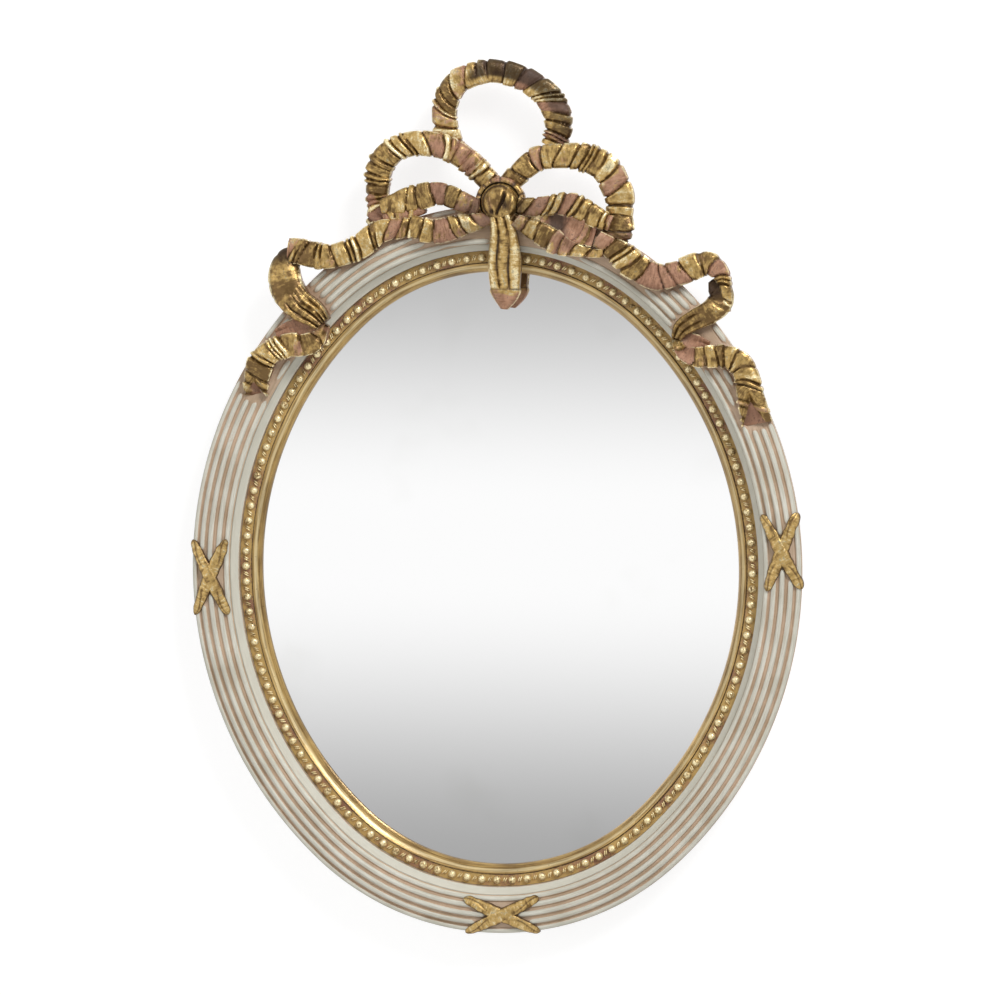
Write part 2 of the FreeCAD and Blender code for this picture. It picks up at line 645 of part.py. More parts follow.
def build_back():
    """Hanger with its D ring, and the felt pads."""
    axis_height = -KNUCKLE_RADIUS
    top = HANGER_HEIGHT_ON_OVAL
    plate = Part.makeBox(HANGER_WIDTH, HANGER_THICKNESS, HANGER_HEIGHT)
    plate.translate(at(-HANGER_WIDTH / 2, 0.0, top - HANGER_HEIGHT))
    barrel_end = at(-HANGER_WIDTH / 2, axis_height, top)
    barrel = Part.makeCylinder(KNUCKLE_RADIUS, HANGER_WIDTH, barrel_end, V(1, 0, 0))
    opening = Part.makeCylinder(KNUCKLE_BORE, HANGER_WIDTH, barrel_end, V(1, 0, 0))
    nodes["hanger_plate"] = plate.fuse(barrel).cut(opening).removeSplitter()
    screws = []
    for drop in HANGER_SCREWS:
        place = (0.0, top - drop, -HANGER_THICKNESS)
        screws.append(screw(*place))
        bore(screw_hole(*place), "hanger_plate", "frame_top")
    nodes["hanger_screws"] = Part.makeCompound(screws)
    wire = Part.Wire([Part.makeCircle(RING_WIRE_RADIUS, ORIGIN, V(1, 0, 0))])
    ring = ring_path().makePipeShell([wire], True, False)
    ring.translate(at(0.0, axis_height, top))
    nodes["hanger_ring"] = ring
    for name, angle in PAD_ANGLES.items():
        x, z = oval_point(angle, PAD_SEAT)
        nodes[name] = Part.makeCylinder(PAD_RADIUS, WALL_GAP, at(x, 0.0, z), FRONT * -1)


build_frame()
build_crosses()
build_knot()
build_ribbons()
build_fixings()
build_glazing()
build_back()
for node, shape in nodes.items():
    shape.exportStep(f"parts/{node}.step")
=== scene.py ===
"""Carved, painted and gilded oval mirror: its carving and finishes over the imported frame."""

import json
import logging
import math
from dataclasses import astuple, dataclass, field
from enum import Enum
from typing import Optional, Union

import bpy
import numpy as np
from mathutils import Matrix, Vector


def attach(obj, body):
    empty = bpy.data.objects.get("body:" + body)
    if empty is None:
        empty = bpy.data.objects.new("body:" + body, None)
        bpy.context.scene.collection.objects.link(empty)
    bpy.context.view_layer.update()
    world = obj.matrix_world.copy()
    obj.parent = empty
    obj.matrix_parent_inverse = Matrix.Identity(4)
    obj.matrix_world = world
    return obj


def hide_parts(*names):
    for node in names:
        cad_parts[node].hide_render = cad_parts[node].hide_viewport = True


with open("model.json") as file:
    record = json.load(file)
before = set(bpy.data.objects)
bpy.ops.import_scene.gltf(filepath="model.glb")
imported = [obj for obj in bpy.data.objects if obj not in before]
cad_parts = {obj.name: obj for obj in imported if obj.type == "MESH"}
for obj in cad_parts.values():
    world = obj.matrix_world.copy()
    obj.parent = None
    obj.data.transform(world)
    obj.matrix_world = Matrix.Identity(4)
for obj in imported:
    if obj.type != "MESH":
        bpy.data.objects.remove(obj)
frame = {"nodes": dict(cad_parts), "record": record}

LOG = logging.getLogger("carved_mirror")
MM = 0.001
REED_TOP = 37.4
WHITE = (1.0, 1.0, 1.0, 1.0)
Array = np.ndarray
Material = bpy.types.Material
Object = bpy.types.Object
Socket = bpy.types.NodeSocket
Colour = tuple[float, float, float, float]
Place = tuple[float, float, float]
Ramp = tuple[tuple[float, float], ...]
Marks = dict[str, np.ndarray]
Number = Union["Sock", float]
Tint = Union["Sock", Colour]


def srgb(*levels: int) -> Colour:
    """Linear colour for levels of red, green and blue from 0 to 255."""
    shares = [level / 255.0 for level in levels]
    return (*(s / 12.92 if s <= 0.04045 else ((s + 0.055) / 1.055) ** 2.4 for s in shares), 1.0)


def ease(values: Array, low: float, high: float) -> Array:
    """Smooth step from 0 at low to 1 at high."""
    share = np.clip((values - low) / (high - low), 0.0, 1.0)
    return share * share * (3.0 - 2.0 * share)


def bell(away: Array, width: float) -> Array:
    """1 where the distance is nought, falling off over a width."""
    return np.exp(-((away / width) ** 2))


def even(value: float) -> Ramp:
    """A ramp with the same value all along."""
    return (0.0, value), (1.0, value)


def along_ramp(ramp: Ramp, share: Array) -> Array:
    """Values of a ramp of (share, value) steps."""
    return np.interp(share, *zip(*ramp))


def spline(knots: Array, values: Array, where: Array) -> Array:
    """Natural cubic curve through values at knots.

    Args:
        knots: Rising places of the values.
        values: One row of values for each knot.
        where: Places to read.

    Returns:
        One row for each place.
    """
    count, gaps = len(knots), np.diff(knots)
    slopes = np.diff(values, axis=0) / gaps[:, None]
    system, known = np.eye(count), np.zeros(values.shape)
    for row in range(1, count - 1):
        system[row, row - 1:row + 2] = gaps[row - 1], 2.0 * (gaps[row - 1] + gaps[row]), gaps[row]
        known[row] = 6.0 * (slopes[row] - slopes[row - 1])
    bends = np.linalg.solve(system, known)
    spot = np.clip(np.searchsorted(knots, where, side="right") - 1, 0, count - 2)
    gap = gaps[spot][:, None]
    ends = (spot, (knots[spot + 1] - where)[:, None]), (spot + 1, (where - knots[spot])[:, None])
    return sum(
        bends[end] * far ** 3 / (6.0 * gap) + (values[end] / gap - bends[end] * gap / 6.0) * far for end, far in ends
    )


def skirted(values: Array, feet: tuple, shares: tuple[float, ...]) -> Array:
    """Values over a front, down its right side and up its left side.

    Args:
        values: Rows along the piece and columns from left to right.
        feet: Values that the right and the left side run towards.
        shares: How far each column of a side has got, from the front down.

    Returns:
        The rows with the columns of both sides added.
    """
    right, left = (
        values[:, [edge]] + (foot - values[:, [edge]]) * np.array(shares) for edge, foot in zip((-1, 0), feet)
    )
    return np.concatenate([values, right, left[:, ::-1]], axis=1)


def placed(name: str, data: bpy.types.ID) -> Object:
    """Put new data into the scene.

    Args:
        name: Name of the object.
        data: Its mesh, camera or light.

    Returns:
        The object, at the origin.
    """
    thing = bpy.data.objects.new(name, data)
    bpy.context.scene.collection.objects.link(thing)
    return thing


def dress(piece: Object, slot: str, *nodes: str) -> None:
    """Let a piece ride on the mirror in place of its nodes.

    Args:
        piece: The finished piece.
        slot: Its material slot in the record; not used.
        *nodes: Nodes that it stands for.
    """
    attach(piece, "mirror")
    if nodes:
        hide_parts(*nodes)
    LOG.info("%s: %d faces", piece.name, len(piece.data.polygons))


@dataclass(frozen=True)
class Arc:
    """One arc of the oval: centre, radius and the angles where it starts and ends."""

    x: float
    z: float
    radius: float
    first: float
    last: float

    def at(self, offset: Array, turn: Array) -> tuple[Array, Array]:
        """x and z at distances outward from the sight edge and angles in radians."""
        reach = self.radius + offset
        return self.x + reach * np.cos(turn), self.z + reach * np.sin(turn)

    def length(self, offset: float = 0.0) -> float:
        """Its length at a distance outward from the sight edge."""
        return math.radians(self.last - self.first) * (self.radius + offset)


@dataclass(frozen=True)
class Oval:
    """Four tangent arcs round the sight edge, in millimetres."""

    half_width: float = 194.0
    half_height: float = 238.5
    joint_angle: float = 46.8
    drop: float = 284.5
    wall_gap: float = 5.0

    def arcs(self) -> dict[str, Arc]:
        """The four arcs by the name of the frame segment on them.

        Returns:
            Name of the segment to its arc.
        """
        joint, turn = self.joint_angle, math.radians(self.joint_angle)
        spread = (self.half_height - self.half_width) / (math.cos(turn) + math.sin(turn) - 1.0)
        side, end = spread * math.cos(turn), spread * math.sin(turn)
        wide, tight = self.half_width + side, self.half_height - end
        return {
            "frame_right": Arc(-side, 0.0, wide, -joint, joint),
            "frame_top": Arc(0.0, end, tight, joint, 180.0 - joint),
            "frame_left": Arc(side, 0.0, wide, 180.0 - joint, 180.0 + joint),
            "frame_bottom": Arc(0.0, -end, tight, 180.0 + joint, 360.0 - joint),
        }

    def arc_for(self, angle: float) -> tuple[Arc, float]:
        """The arc on which an angle in degrees lies, and the angle as that arc counts it."""
        spans = [(arc, turned) for arc in self.arcs().values() for turned in (angle, angle - 360.0)]
        return next((arc, turned) for arc, turned in spans if arc.first <= turned <= arc.last)

    def point(self, angle: float, offset: float) -> tuple[float, float]:
        """x and z by degrees about the arc's own centre and distance outward from the sight edge."""
        arc, turned = self.arc_for(angle)
        return arc.at(offset, math.radians(turned))

    def row(self, x: Array, h: Array, z: Array) -> Array:
        """Points of the row frame in metres, h being the height above the frame's back."""
        return np.stack(np.broadcast_arrays(x, -self.wall_gap - h, z - self.drop), axis=-1) * MM


class Shell:
    """A closed mesh in the making, from grids of points whose columns run round a section."""

    def __init__(self, name: str) -> None:
        """Start an empty shell.

        Args:
            name: Name of the piece.
        """
        self.name, self.count = name, 0
        self.points: list[Array] = []
        self.faces: list[list[int]] = []
        self.marks: dict[str, list[Array]] = {}

    def grid(self, points: Array, marks: Marks, ring: bool = False) -> None:
        """Add one closed skin.

        Args:
            points: Rows along the piece, columns round its section, and x, y, z.
            marks: Point values by attribute name, one for each point, or three for a vector.
            ring: The last row joins the first; otherwise both ends are capped.
        """
        rows, cols = points.shape[:2]
        index = np.arange(rows * cols).reshape(rows, cols)
        behind, ahead = (index, np.roll(index, -1, axis=0)) if ring else (index[:-1], index[1:])
        corners = [behind, ahead, np.roll(ahead, -1, axis=1), np.roll(behind, -1, axis=1)]
        quads = np.stack(corners, axis=-1).reshape(-1, 4)
        faces = quads.tolist() + ([] if ring else [index[0].tolist(), index[-1][::-1].tolist()])
        flat = points.reshape(-1, 3)
        a, b, c, d = (flat[quads[:, corner]] for corner in range(4))
        if np.einsum("ij,ij->", np.cross(a, b), c) + np.einsum("ij,ij->", np.cross(a, c), d) < 0.0:
            faces = [face[::-1] for face in faces]
        self.faces += [[corner + self.count for corner in face] for face in faces]
        self.points.append(flat)
        for name, values in marks.items():
            self.marks.setdefault(name, []).append(values.reshape(-1, 3 if values.ndim == 3 else 1))
        self.count += len(flat)

    def finish(self, material: Material, crease: float = 50.0) -> Object:
        """Make the mesh object.

        Args:
            material: Finish of the whole piece.
            crease: Edges sharper than this angle in degrees stay sharp.

        Returns:
            The new object, at the origin.
        """
        mesh = bpy.data.meshes.new(self.name)
        mesh.from_pydata(np.concatenate(self.points).tolist(), [], self.faces)
        for name, parts in self.marks.items():
            values = np.concatenate(parts).astype(np.float32)
            kind, key = ("FLOAT", "value") if values.shape[1] == 1 else ("FLOAT_VECTOR", "vector")
            mesh.attributes.new(name, kind, "POINT").data.foreach_set(key, values.ravel())
        mesh.shade_smooth()
        mesh.set_sharp_from_angle(angle=math.radians(crease))
        mesh.materials.append(material)
        return placed(self.name, mesh)


class Sock:
    """A shader value that can be added, multiplied and compared like a number."""

    def __init__(self, ink: "Ink", socket: Socket) -> None:
        """Wrap one output socket."""
        self.ink, self.socket = ink, socket

    def sum(self, operation: str, first: Number, second: Number) -> "Sock":
        """What a Math node makes of two numbers."""
        return self.ink.value("ShaderNodeMath", {"operation": operation}, {0: first, 1: second})

    def __add__(self, other: Number) -> "Sock":
        """Sum."""
        return self.sum("ADD", self, other)

    def __radd__(self, other: Number) -> "Sock":
        """Sum, with the number first."""
        return self.sum("ADD", other, self)

    def __sub__(self, other: Number) -> "Sock":
        """Difference."""
        return self.sum("SUBTRACT", self, other)

    def __rsub__(self, other: Number) -> "Sock":
        """Difference, with the number first."""
        return self.sum("SUBTRACT", other, self)

    def __mul__(self, other: Number) -> "Sock":
        """Product."""
        return self.sum("MULTIPLY", self, other)

    def __rmul__(self, other: Number) -> "Sock":
        """Product, with the number first."""
        return self.sum("MULTIPLY", other, self)

    def __truediv__(self, other: Number) -> "Sock":
        """Quotient."""
        return self.sum("DIVIDE", self, other)

    def __rtruediv__(self, other: Number) -> "Sock":
        """Quotient, with the number first."""
        return self.sum("DIVIDE", other, self)

    def most(self, other: Number) -> "Sock":
        """The larger of two numbers."""
        return self.sum("MAXIMUM", self, other)

    def about(self, span: float) -> "Sock":
        """A noise about nought instead of a half, over a span."""
        return (self - 0.5) * span

    def ease(self, low: float, high: float) -> "Sock":
        """Smooth step from 0 at low to 1 at high."""
        settings = {"interpolation_type": "SMOOTHSTEP"}
        return self.ink.value("ShaderNodeMapRange", settings, {0: self, 1: low, 2: high})


class Ink:
    """Adds the nodes of one material, world or node group."""

    def __init__(self, name: str, library: str = "materials", *kind: str) -> None:
        """Start without a node.

        Args:
            name: Name of the material, world or group.
            library: Blender's collection that keeps it.
            *kind: Kind of tree, for a group alone.
        """
        self.owner = getattr(bpy.data, library).new(name, *kind)
        if not kind:
            self.owner.use_nodes = True
        self.tree = self.owner if kind else self.owner.node_tree
        self.tree.nodes.clear()

    def node(self, kind: str, settings: dict, inputs: dict) -> bpy.types.Node:
        """Make one node.

        Args:
            kind: Blender's type name.
            settings: Node properties to set.
            inputs: Sock, socket, node or constant for each input, by name or index.

        Returns:
            The new node.
        """
        node = self.tree.nodes.new(kind)
        for key, setting in settings.items():
            setattr(node, key, setting)
        for key, source in inputs.items():
            if isinstance(source, (Sock, Socket, bpy.types.Node)):
                source = source.outputs[0] if isinstance(source, bpy.types.Node) else getattr(source, "socket", source)
                self.tree.links.new(source, node.inputs[key])
            else:
                node.inputs[key].default_value = source
        return node

    def value(self, kind: str, settings: dict, inputs: dict, output: Union[int, str] = 0) -> Sock:
        """One output of a new node, as a value to reckon with."""
        return Sock(self, self.node(kind, settings, inputs).outputs[output])

    def mark(self, name: str) -> Sock:
        """A point value of the piece, by attribute name."""
        return self.value("ShaderNodeAttribute", {"attribute_name": name}, {}, "Fac")

    def place(self) -> Socket:
        """Object coordinates."""
        return self.node("ShaderNodeTexCoord", {}, {}).outputs["Object"]

    def along(self, *by: float) -> Socket:
        """Coordinates along and across the piece, stretched."""
        lay = self.node("ShaderNodeAttribute", {"attribute_name": "lay"}, {}).outputs["Vector"]
        return self.stretch(lay, by)

    def stretch(self, vector: Socket, by: Place) -> Socket:
        """A vector multiplied axis by axis."""
        return self.node("ShaderNodeVectorMath", {"operation": "MULTIPLY"}, {0: vector, 1: by}).outputs[0]

    def noise(self, vector: Socket, scale: float = 1.0, detail: float = 4.0) -> Sock:
        """Noise about 0.5, with so many cells for each unit of its vector."""
        inputs = {"Vector": vector, "Scale": scale, "Detail": detail, "Roughness": 0.55}
        return self.value("ShaderNodeTexNoise", {}, inputs)

    def coats(self, colour: Tint, *coats: tuple[Number, Tint]) -> Sock:
        """Lay coats of colour over one another.

        Args:
            colour: The lowest colour.
            *coats: Share that each covers and its colour, from the lowest up.

        Returns:
            The mixed colour.
        """
        settings = {"data_type": "RGBA", "clamp_factor": True}
        for share, coat in coats:
            colour = self.value("ShaderNodeMix", settings, {0: share, 6: colour, 7: coat}, 2)
        return colour

    def seen(self) -> Sock:
        """Tell the rays that see the set from those that light it.

        Returns:
            1 for rays of the camera, gloss and transmission, and 0 for the rest.
        """
        rays = self.node("ShaderNodeLightPath", {}, {}).outputs
        camera, gloss, clear = (Sock(self, rays[f"Is {ray} Ray"]) for ray in ("Camera", "Glossy", "Transmission"))
        return camera.most(gloss).most(clear)

    def close(self, shader: bpy.types.Node) -> Material:
        """The material, with its surface set."""
        self.node("ShaderNodeOutputMaterial", {}, {"Surface": shader})
        return self.owner

    def surface(
        self, colour: Sock, roughness: Number, metallic: Number = 0.0,
        relief: Optional[Sock] = None, depth: float = 0.0003,
    ) -> Material:
        """Close the material with a Principled surface.

        Args:
            colour: Base colour.
            roughness: Roughness.
            metallic: Share of bare metal.
            relief: Height for the bump, from 0 to 1.
            depth: Height of the bump in metres.

        Returns:
            The finished material.
        """
        inputs: dict = {"Base Color": colour, "Roughness": roughness, "Metallic": metallic}
        if relief is not None:
            inputs["Normal"] = self.node("ShaderNodeBump", {}, {"Strength": 0.6, "Distance": depth, "Height": relief})
        return self.close(self.node("ShaderNodeBsdfPrincipled", {}, inputs))


@dataclass(frozen=True)
class Gilding:
    """Water gilding over red bole, with painted highlights on the ridges and edges, and a dark glaze in the folds that
    is partly patina and partly painted shade.
    """

    bright: Colour = srgb(246, 230, 184)
    leaf: Colour = srgb(192, 159, 96)
    deep: Colour = srgb(110, 84, 46)
    bole: Colour = srgb(180, 133, 107)
    earth: Colour = srgb(138, 97, 72)
    # Dark glaze: random flecks of patina, and painted shade in creases, hollows and quirks
    glaze_and_shade: Colour = srgb(50, 32, 18)

    def ribbon(self) -> Material:
        """Finish of the carved ribbons, from their pleat marks.

        Returns:
            The material.
        """
        ink = Ink("gilded_ribbon")
        place = ink.place()
        brush = ink.noise(ink.along(0.55, 0.13, 1.0))
        patch, blot, grit = ink.noise(place, 62.0), ink.noise(place, 190.0), ink.noise(place, 640.0, 3.0)
        # Painted highlight and shade: the ridge mark lifts the gold from deep through leaf to bright on pleat ridges,
        # over random tone
        ridge_light_and_tone = ink.mark("ridge") * 0.72 + blot.about(1.3) + brush.about(0.9)
        flush = (ink.mark("blush") + patch.about(1.3) + brush.about(0.7)).ease(0.4, 0.64)
        ground = ink.coats(self.earth, ((brush * 0.6 + blot * 0.5).ease(0.38, 0.66), self.bole))
        # Painted highlight: a pale bright line along the ribbon's edges, from the rim mark
        wear_and_highlight = (ink.mark("rim") + grit.about(1.2) + blot.about(1.0)).ease(0.5, 0.86)
        flecks = (grit * 0.6 + blot * 0.6).ease(0.66, 0.74)
        # Painted shade, partly patina: the creases darken in the pleat valleys, and the gloom mark where a ribbon turns
        # from the light
        folds = (ink.mark("crease") + blot.about(0.8)).ease(0.22, 0.95)
        dim = (ink.mark("gloom") + patch.about(0.6)).ease(0.12, 0.85)
        colour = ink.coats(
            self.deep, (ridge_light_and_tone.ease(0.1, 0.56), self.leaf), ((ridge_light_and_tone + grit.about(0.8)).ease(0.52, 0.9), self.bright),
            # Painted shade: the flanks (side mark) are coloured earth as if in shade
            (flush * 0.92, ground), (wear_and_highlight * 0.85, self.bright), (ink.mark("side") * 0.85, self.earth),
            (flecks * 0.5, self.glaze_and_shade), (folds * 0.92, self.glaze_and_shade), (dim * 0.9, self.glaze_and_shade),
        )
        bare = flush.most(folds)
        relief = brush * 0.5 + grit * 0.3 + blot * 0.4
        return ink.surface(colour, 0.34 + bare * 0.26 + grit.about(0.2), 0.62 - bare * 0.55, relief, 0.0009)

    def slip(self) -> Material:
        """Finish of the slip round the glass: burnished lip with a painted highlight along it, painted shade lines at
        its edges and quirk, and matt bed.

        Returns:
            The material.
        """
        ink = Ink("gilded_slip")
        place, bed = ink.place(), ink.mark("bed")
        streak = ink.noise(ink.along(0.035, 0.9, 1.0))
        patch, grit = ink.noise(place, 38.0), ink.noise(place, 600.0, 3.0)
        ground = ink.coats(
            self.earth, ((patch * 0.6 + grit * 0.5).ease(0.42, 0.72), self.bole),
            ((patch - grit * 0.4).ease(0.12, 0.34), self.leaf),
        )
        colour = ink.coats(
            self.deep, ((streak * 0.7 + patch * 0.5).ease(0.38, 0.82), self.leaf),
            # Painted highlight along the lip's ridge
            ((ink.mark("ridge") + streak.about(0.7)).ease(0.62, 1.0) * 0.45, self.bright),
            ((patch * 0.7 + grit * 0.4).ease(0.68, 0.78) * 0.7, self.bole), (bed, ground),
            # Painted shade: dark lines at the sight edge, the lip's top and the quirk
            ((ink.mark("edge") + grit.about(0.6)).ease(0.35, 0.9), self.glaze_and_shade),
        )
        return ink.surface(colour, 0.3 + bed * 0.35 + grit.about(0.14), 0.55 - bed * 0.5, grit, 0.0002)

    def bead(self) -> Material:
        """Finish of the beads and the links between them.

        Returns:
            The material.
        """
        ink = Ink("gilded_bead")
        place = ink.place()
        patch, grit = ink.noise(place, 120.0, 3.0), ink.noise(place, 700.0, 3.0)
        colour = ink.coats(
            self.deep, ((patch * 0.7 + grit * 0.5).ease(0.4, 0.62), self.leaf),
            ((patch * 0.4 + grit * 0.6).ease(0.36, 0.56), self.bright), (patch.ease(0.62, 0.74) * 0.6, self.earth),
        )
        return ink.surface(colour, 0.24 + grit * 0.2, 0.55, grit)


@dataclass(frozen=True)
class FramePaint:
    """Off-white distemper on the reeds, worn to red earth in the grooves, with painted shade lines along the reeds,
    quirk and outer edge, and bare wood behind.
    """

    white: Colour = srgb(222, 219, 206)
    chalk: Colour = srgb(196, 192, 176)
    # Grey of the cove and outer edge, painted as shade
    grey: Colour = srgb(207, 204, 190)
    clay: Colour = srgb(206, 180, 154)
    umber: Colour = srgb(176, 151, 124)
    # Painted shade: grey of the dark lines along the reed edges, the quirk and the outer edge
    shade_line_grey: Colour = srgb(96, 90, 76)
    timber: Colour = srgb(140, 98, 62)
    heart: Colour = srgb(96, 62, 38)

    def material(self) -> Material:
        """Finish of the four frame segments, from their profile marks.

        Returns:
            The material.
        """
        ink = Ink("painted_reeds")
        place = ink.place()
        streak, grain = ink.noise(ink.along(0.05, 0.9, 1.0)), ink.noise(ink.along(0.02, 1.4, 1.0), 1.0, 5.0)
        patch, grit = ink.noise(place, 42.0), ink.noise(place, 560.0, 3.0)
        ground = ink.coats(self.umber, ((patch * 0.7 + streak * 0.4).ease(0.4, 0.72), self.clay))
        wear_and_highlight = (ink.mark("ground") + streak.about(0.9) + grit.about(0.6)).ease(0.34, 0.66)
        wood = ink.coats(self.heart, (grain.ease(0.35, 0.68), self.timber))
        colour = ink.coats(
            self.chalk, ((streak * 0.7 + patch * 0.4).ease(0.4, 0.72), self.white),
            # Painted shade: the cove and the outer edge (cove mark) are painted greyer, as hollows in shade
            (ink.mark("cove") * 0.75, self.grey),
            ((patch * 0.6 + grit * 0.5).ease(0.68, 0.8) * 0.55, self.clay), (wear_and_highlight, ground),
            # Painted shade: the shade mark darkens lines along the reeds, the quirk and the outer edge
            ((ink.mark("shade") + streak.about(1.6)).ease(0.5, 0.95) * 0.6, self.shade_line_grey), (ink.mark("back"), wood),
        )
        return ink.surface(colour, 0.52 + wear_and_highlight * 0.12 + grit.about(0.2), 0.0, streak * 0.6 + grit * 0.4)


@dataclass(frozen=True)
class Plain:
    """A finish of two colours in a stretched noise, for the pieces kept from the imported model."""

    name: str
    dark: Colour
    pale: Colour
    scale: float
    stretch: Place
    roughness: float
    metallic: float = 0.0
    depth: float = 0.0002

    def material(self) -> Material:
        """The finish as a material.

        Returns:
            The material.
        """
        ink = Ink(self.name)
        place = ink.place()
        figure, grit = ink.noise(ink.stretch(place, self.stretch), self.scale, 5.0), ink.noise(place, 900.0, 2.0)
        colour = ink.coats(self.dark, ((figure * 0.85 + grit * 0.15).ease(0.36, 0.66), self.pale))
        rough = self.roughness + figure.about(0.2) + grit.about(0.1)
        return ink.surface(colour, rough, self.metallic, figure * 0.7 + grit * 0.3, self.depth)


@dataclass(frozen=True)
class SilverGlass:
    """Silvered plate: a clear reflection with the least foxing."""

    silver: Colour = srgb(252, 252, 252)
    foxed: Colour = srgb(246, 246, 245)

    def material(self) -> Material:
        """The glass as a material.

        Returns:
            The material.
        """
        ink = Ink("silvered_glass")
        bloom = ink.noise(ink.place(), 9.0, 3.0)
        colour = ink.coats(self.silver, (bloom.ease(0.55, 0.8), self.foxed))
        return ink.surface(colour, 0.012 + bloom * 0.008, 1.0)


@dataclass(frozen=True)
class Finishes:
    """Every material of the mirror, the kept pieces' ones by slot or node."""

    ribbon: Material
    slip: Material
    bead: Material
    kept: dict[str, Material]

    @classmethod
    def mixed(cls) -> "Finishes":
        """Mix every finish once.

        Returns:
            The set of materials.
        """
        gold = Gilding()
        ribbon = gold.ribbon()
        kept = {
            "bare_wood": Plain("bare_wood", srgb(118, 80, 50), srgb(172, 130, 88), 60.0, (1.0, 1.0, 0.08), 0.7),
            "board": Plain("back_board", srgb(126, 92, 60), srgb(166, 127, 86), 260.0, (0.025, 1.0, 1.0), 0.75),
            "plated_steel": Plain(
                "plated_steel", srgb(150, 150, 148), srgb(188, 188, 186), 300.0, (0.2, 1.0, 1.0), 0.34, 0.9),
            "brass": Plain("hanger_brass", srgb(140, 106, 50), srgb(190, 152, 84), 160.0, (1.0, 1.0, 0.3), 0.34, 0.85),
            "felt": Plain("bumper_felt", srgb(52, 56, 50), srgb(92, 96, 88), 900.0, (1.0, 0.3, 1.0), 0.95, 0.0, 0.0006),
            "crest_block": Plain("crest_ground", srgb(104, 70, 48), srgb(150, 102, 78), 90.0, (1.0, 1.0, 0.3), 0.65),
            "silvered_glass": SilverGlass(),
            "painted_wood": FramePaint(),
        }
        materials = {name: finish.material() for name, finish in kept.items()}
        return cls(ribbon, gold.slip(), gold.bead(), {**materials, "gilt_wood": ribbon})


class Tuck(Enum):
    """How a ribbon is gathered: across, along or hardly at all."""

    PLEATED = "pleated"
    FLUTED = "fluted"
    ROLLED = "rolled"


